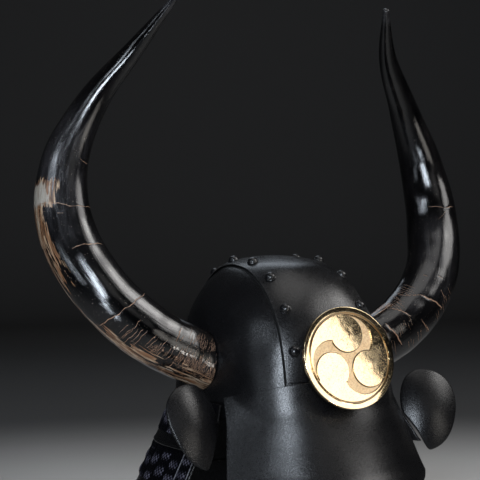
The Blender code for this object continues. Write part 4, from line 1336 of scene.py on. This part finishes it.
def crack_field(word, along, degrees, radius):
    """Signed distance to the nearest crack in half widths, how near it is, and the depth of its groove."""
    signed, nearest = np.full(along.shape, CRACK_SPAN), np.full(along.shape, CRACK_FAR)
    groove = np.zeros(along.shape)
    for number, (at, start, to, end, width) in enumerate(lines_of_cracks(word)):
        share = (degrees - start) / (end - start)
        run = np.radians(abs(end - start)) * radius
        off = along - at - (to - at) * share
        wander = sum(size * np.sin(degrees * pace + shift * number) for size, pace, shift in CRACK_WANDER)
        off -= min(1.0, run.max() / WANDER_RUN) * wander
        beyond = np.maximum(0.0, np.maximum(-share, share - 1)) * run
        taper = np.clip(np.minimum(share, 1 - share) * run / CRACK_TAPER, CRACK_ENDS, 1.0)
        distance = np.hypot(off, beyond)
        closer = distance < nearest
        signed = np.where(closer, off / (width * taper), signed)
        nearest = np.where(closer, distance, nearest)
        groove = np.maximum(groove, width * np.exp(-((distance / GROOVE_REACH) ** 2)))
    return np.clip(signed, -CRACK_SPAN, CRACK_SPAN), 1 - np.clip(nearest / CRACK_NEAR, 0, 1), groove


def horn_relief(word, along, turn, straight):
    """How far a horn of full thickness stands off an even taper: long flats, growth waves and ripples."""
    phase = HORN_PHASE[word]
    flats = sum(high * np.cos(count * turn + along / twist + phase) for count, high, twist in HORN_FLATS)
    waves = GROWTH_HEIGHT * np.sin(along / GROWTH_PACE + GROWTH_LEAN * np.cos(turn))
    fade = np.exp(-np.maximum(along, 0) / GROWTH_FADE)
    return flats + waves * fade + ripple(straight, "horn")


def horn_tip(side, ring):
    """Rings that round off the horn beyond its last one, and the point of its tip."""
    length = horn_line()[2][-1]
    centres, radii, _, _ = horn_frames(side, np.array([length, length - TIP_LOOKBACK]))
    close = ring.mean(axis=0)
    ahead = TIP_REACH * radii[0] * unit(centres[0] - centres[1])
    turns = np.radians(TIP_TURNS)
    return [close + (ring - close) * math.cos(turn) + ahead * math.sin(turn) for turn in turns], close + ahead


def make_horn(word, side):
    """A tapering horn with long flats, growth waves and cracks cut into its surface."""
    turn = round_angles(HORN_SIDES) - math.pi
    root = horn_root(side, turn)
    base = np.linspace(0, 1, round((HORN_BASE + BASE_EXTRA) / HORN_STEP))[:, None]
    near = root[None] + (HORN_BASE - root[None]) * base
    far = np.arange(HORN_BASE + HORN_STEP, horn_line()[2][-1], HORN_STEP)
    along = np.concatenate([near, np.repeat(far[:, None], HORN_SIDES, axis=1)])
    degrees = np.degrees(turn)[None] + np.zeros_like(along)
    centre, radius, x, y = horn_frames(side, along)
    slim = radius / HORN_RADIUS
    crack, near_crack, groove = crack_field(word, along, degrees, radius)
    straight = np.stack([radius * np.cos(turn), radius * np.sin(turn), along + GRAIN_SHIFT[word]], -1)
    relief = horn_relief(word, along, turn[None], straight) * slim - CRACK_DEPTH * groove
    lip = np.clip((along - root[None]) / ROOT_LIP, 0, 1)
    rounding = ROOT_ROUNDING * (1 - np.sqrt(1 - (1 - lip) ** 2))
    reach = radius + np.minimum(relief, RELIEF_LIMIT) - HORN_SINK * slim - rounding
    points = centre + spokes(x, y, turn) * reach[..., None]
    caps, tip = horn_tip(side, points[-1])

    def whole(field):
        """A field's values, with those for the rings of the tip and the two end points."""
        return np.concatenate([field.ravel(), np.tile(field[-1], len(caps)), field[0, :1], field[-1, :1]])

    attributes = {
        "straight": np.stack([whole(straight[..., k] * MM) for k in range(3)], -1),
        "crack": whole(crack),
        "near": whole(near_crack),
        "pale": whole(patch_field(PALE_PATCHES[word], along, degrees)),
        "smoky": whole(patch_field(SMOKY_PATCHES[word], along, degrees)),
        "fine": whole(np.exp(-((np.maximum(along, 0) / FINE_FADE) ** 2)) * 0.5),
    }
    points = np.concatenate([points, np.stack(caps)])
    faces = fanned_faces(len(points), HORN_SIDES)
    points = np.concatenate([points.reshape(-1, 3), [points[0].mean(axis=0), tip]])
    node = f"horn_{word}"
    piece(f"polished_{node}", points, faces, HORN, [node], sharp=180, attributes=attributes)


# Disc crest


def disc_placing():
    lean = math.radians(DISC_LEAN)
    at = (0, -BOWL_FRONT - DISC_STANDOFF, DISC_ABOVE_RIM - BOWL_DEPTH)
    return facing((0, -math.cos(lean), math.sin(lean)), at)


def comma_outline(turn):
    """Outline of one comma. Its tail curls anticlockwise along the rim, seen from the front."""
    limit = DISC_RADIUS - DISC_RIM_WIDTH - DISC_GROOVE
    sweep = math.radians(COMMA_SWEEP)

    def polar(radius, angle):
        return np.stack([radius * np.cos(turn + angle), radius * np.sin(turn + angle)], -1)

    head = polar(COMMA_REACH, 0.0)
    share = np.linspace(COMMA_TAIL[0][0], 1.0, TAIL_STEPS)
    out = smooth_table(COMMA_TAIL, share)[:, 0]
    tail = polar(COMMA_REACH + (limit - COMMA_REACH) * out, sweep * share)
    rim = polar(limit, sweep * (1 - np.arange(1, RIM_STEPS + 1) / RIM_STEPS))
    around = (turn - math.atan2(*(tail[0] - head)[::-1])) % (2 * math.pi)
    steps = turn - around * np.arange(1, BULB_STEPS) / BULB_STEPS
    bulb = head + np.stack([np.cos(steps), np.sin(steps)], -1) * COMMA_RADIUS
    return np.concatenate([bulb, tail, rim])


def make_disc():
    """The rim with its groove, the matt ground and three polished commas in relief."""
    placing = disc_placing()
    rim = DISC_RADIUS - DISC_RIM_WIDTH
    profile = [(0, -DISC_THICK), (DISC_RADIUS - BACK_BEVEL, -DISC_THICK)]
    profile.append((DISC_RADIUS, -DISC_THICK + BACK_BEVEL))
    for turn in np.radians(np.linspace(0, 90, 7)):
        inwards, down = 1 - math.cos(turn), 1 - math.sin(turn)
        profile.append((DISC_RADIUS - RIM_ROUNDING * inwards, DISC_RAISE - RIM_ROUNDING * down))
    profile += [(rim + out, DISC_RAISE - down) for out, down in RIM_SHOULDER]
    profile += [(rim, DISC_BED), (0, DISC_BED)]
    points, faces = turned_mesh(profile, DISC_SIDES)
    piece("gilt_rim", placed(points, placing), faces, GILT, ["crest_disc"], sharp=28)
    outlines = [comma_outline(math.radians(90) + 2 * math.pi * k / COMMA_COUNT) for k in range(COMMA_COUNT)]
    make_ground(placing, rim, outlines)
    for number, outline in enumerate(outlines, start=1):
        index = np.arange(len(outline))
        both = [np.column_stack([outline, np.full(len(outline), z)]) for z in (COMMA_FOOT, DISC_RAISE)]
        faces = [index[::-1].tolist(), (len(outline) + index).tolist()] + skirt(index, len(outline))
        points = placed(np.concatenate(both), placing)
        made = piece(f"gilt_comma_{number}", points, faces, GILT, ["crest_disc"], bevel=COMMA_BEVEL)
        made.modifiers["edges"].segments = COMMA_SEGMENTS


def make_ground(placing, rim, outlines):
    """The ground between the commas, with painted shade along their edges and in the groove inside the rim.
    """
    ground, edge = rim - DISC_GROOVE, rim - GROUND_PLAY
    profile = [(0, GROUND_BACK), (edge, GROUND_BACK), (edge, -GROOVE_DEPTH), (ground + 0.2, -GROOVE_DEPTH)]
    profile += [(ground, -0.1)] + [(r, 0) for r in np.linspace(ground - 0.3, 0.5, GROUND_RINGS)] + [(0, 0)]
    points, faces = turned_mesh(profile, 2 * DISC_SIDES)
    away = np.full(len(points), FAR)
    for x, y in np.concatenate(outlines):
        away = np.minimum(away, np.hypot(points[:, 0] - x, points[:, 1] - y))
    # Where the painted shade falls: in the groove and close to the commas.
    hollow = np.where(points[:, 2] < -0.2, 0.5, np.exp(-((away / CORNER_SHADE_REACH) ** 2)))
    points = placed(points, placing)
    piece("gilt_ground", points, faces, GROUND, ["crest_disc"], attributes={"hollow": hollow})


# Camera, floor and light


def direction(azimuth, elevation):
    """Away from the helmet at angles in degrees: azimuth 0 is its front and azimuth 90 its left."""
    a, e = math.radians(azimuth), math.radians(elevation)
    return np.array([math.sin(a) * math.cos(e), -math.cos(a) * math.cos(e), math.sin(e)])


def camera_axes():
    """The camera's right, up and back directions."""
    azimuth, roll = math.radians(CAMERA_AZIMUTH), math.radians(CAMERA_ROLL)
    back = direction(CAMERA_AZIMUTH, CAMERA_ELEVATION)
    level = np.array([math.cos(azimuth), math.sin(azimuth), 0])
    upright = np.cross(back, level)
    right = level * math.cos(roll) + upright * math.sin(roll)
    return right, np.cross(back, right), back


def make_camera():
    right, up, back = camera_axes()
    eye = right * CAMERA_MIDDLE[0] + up * CAMERA_MIDDLE[1] + back * CAMERA_DISTANCE
    data = bpy.data.cameras.new("camera")
    data.lens = CAMERA_LENS
    data.sensor_width = CAMERA_SENSOR
    camera = added("camera", data)
    camera.matrix_world = Matrix(placing_of(right, up, back, eye * MM))
    bpy.context.scene.camera = camera


def make_floor():
    """A pale floor that sweeps up into a wall far behind the helmet."""
    level = cad_box[0].z / MM
    flat = FLOOR_RINGS[-1]
    profile = [(radius, level) for radius in FLOOR_RINGS]
    for turn in np.radians(np.linspace(8, 90, 12)):
        profile.append((flat + FLOOR_BEND * math.sin(turn), level + FLOOR_BEND * (1 - math.cos(turn))))
    profile.append((flat + FLOOR_BEND, level + FLOOR_BEND + FLOOR_WALL))
    rings = turned_rings(profile, FLOOR_SIDES)
    points = np.concatenate(rings + [np.array([[0, 0, level]])])
    faces = grid_faces(len(rings), FLOOR_SIDES, closed=True)
    faces += [[len(points) - 1, (k + 1) % FLOOR_SIDES, k] for k in range(FLOOR_SIDES)]
    mesh = bpy.data.meshes.new("floor")
    mesh.from_pydata((points * MM).tolist(), [], faces)
    mesh.shade_smooth()
    mesh.materials.append(floor_look())
    floor = added("floor", mesh)


def soft_box(name, aim, azimuth, elevation, distance, turn, spread, width, height, brightness, colour):
    """A soft rectangular light that faces a point, with its brightness in watts for a square metre."""
    back = Vector(direction(azimuth, elevation))
    data = bpy.data.lights.new(name, "AREA")
    data.shape = "RECTANGLE"
    data.size, data.size_y = width, height
    data.energy = brightness * width * height
    data.spread = math.radians(spread)
    data.color = colour
    light = added(name, data)
    light.location = Vector(aim) + back * distance
    light.rotation_mode = "QUATERNION"
    light.rotation_quaternion = (-back).to_track_quat("-Z", "Y") @ Quaternion((0, 0, 1), math.radians(turn))
    light.visible_camera = False


def make_lights():
    for row in LIGHTS:
        soft_box(*row)
    world = bpy.data.worlds.new("studio")
    world.use_nodes = True
    background = world.node_tree.nodes["Background"]
    background.inputs["Color"].default_value = WORLD_COLOUR
    background.inputs["Strength"].default_value = WORLD_STRENGTH
    bpy.context.scene.world = world


make_crown()
make_sides()
make_rivets()
make_brow()
make_neck_guard()
make_ears()
for word, side in SIDES:
    make_horn(word, side)
make_disc()
for node in ("waist_band", "horn_pin_right", "horn_pin_left", "crest_post"):
    for material_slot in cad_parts[node].material_slots:
        material_slot.material = LACQUER if node == "waist_band" else IRON
make_camera()
make_floor()
make_lights()
bpy.context.scene.view_settings.view_transform = "Standard"
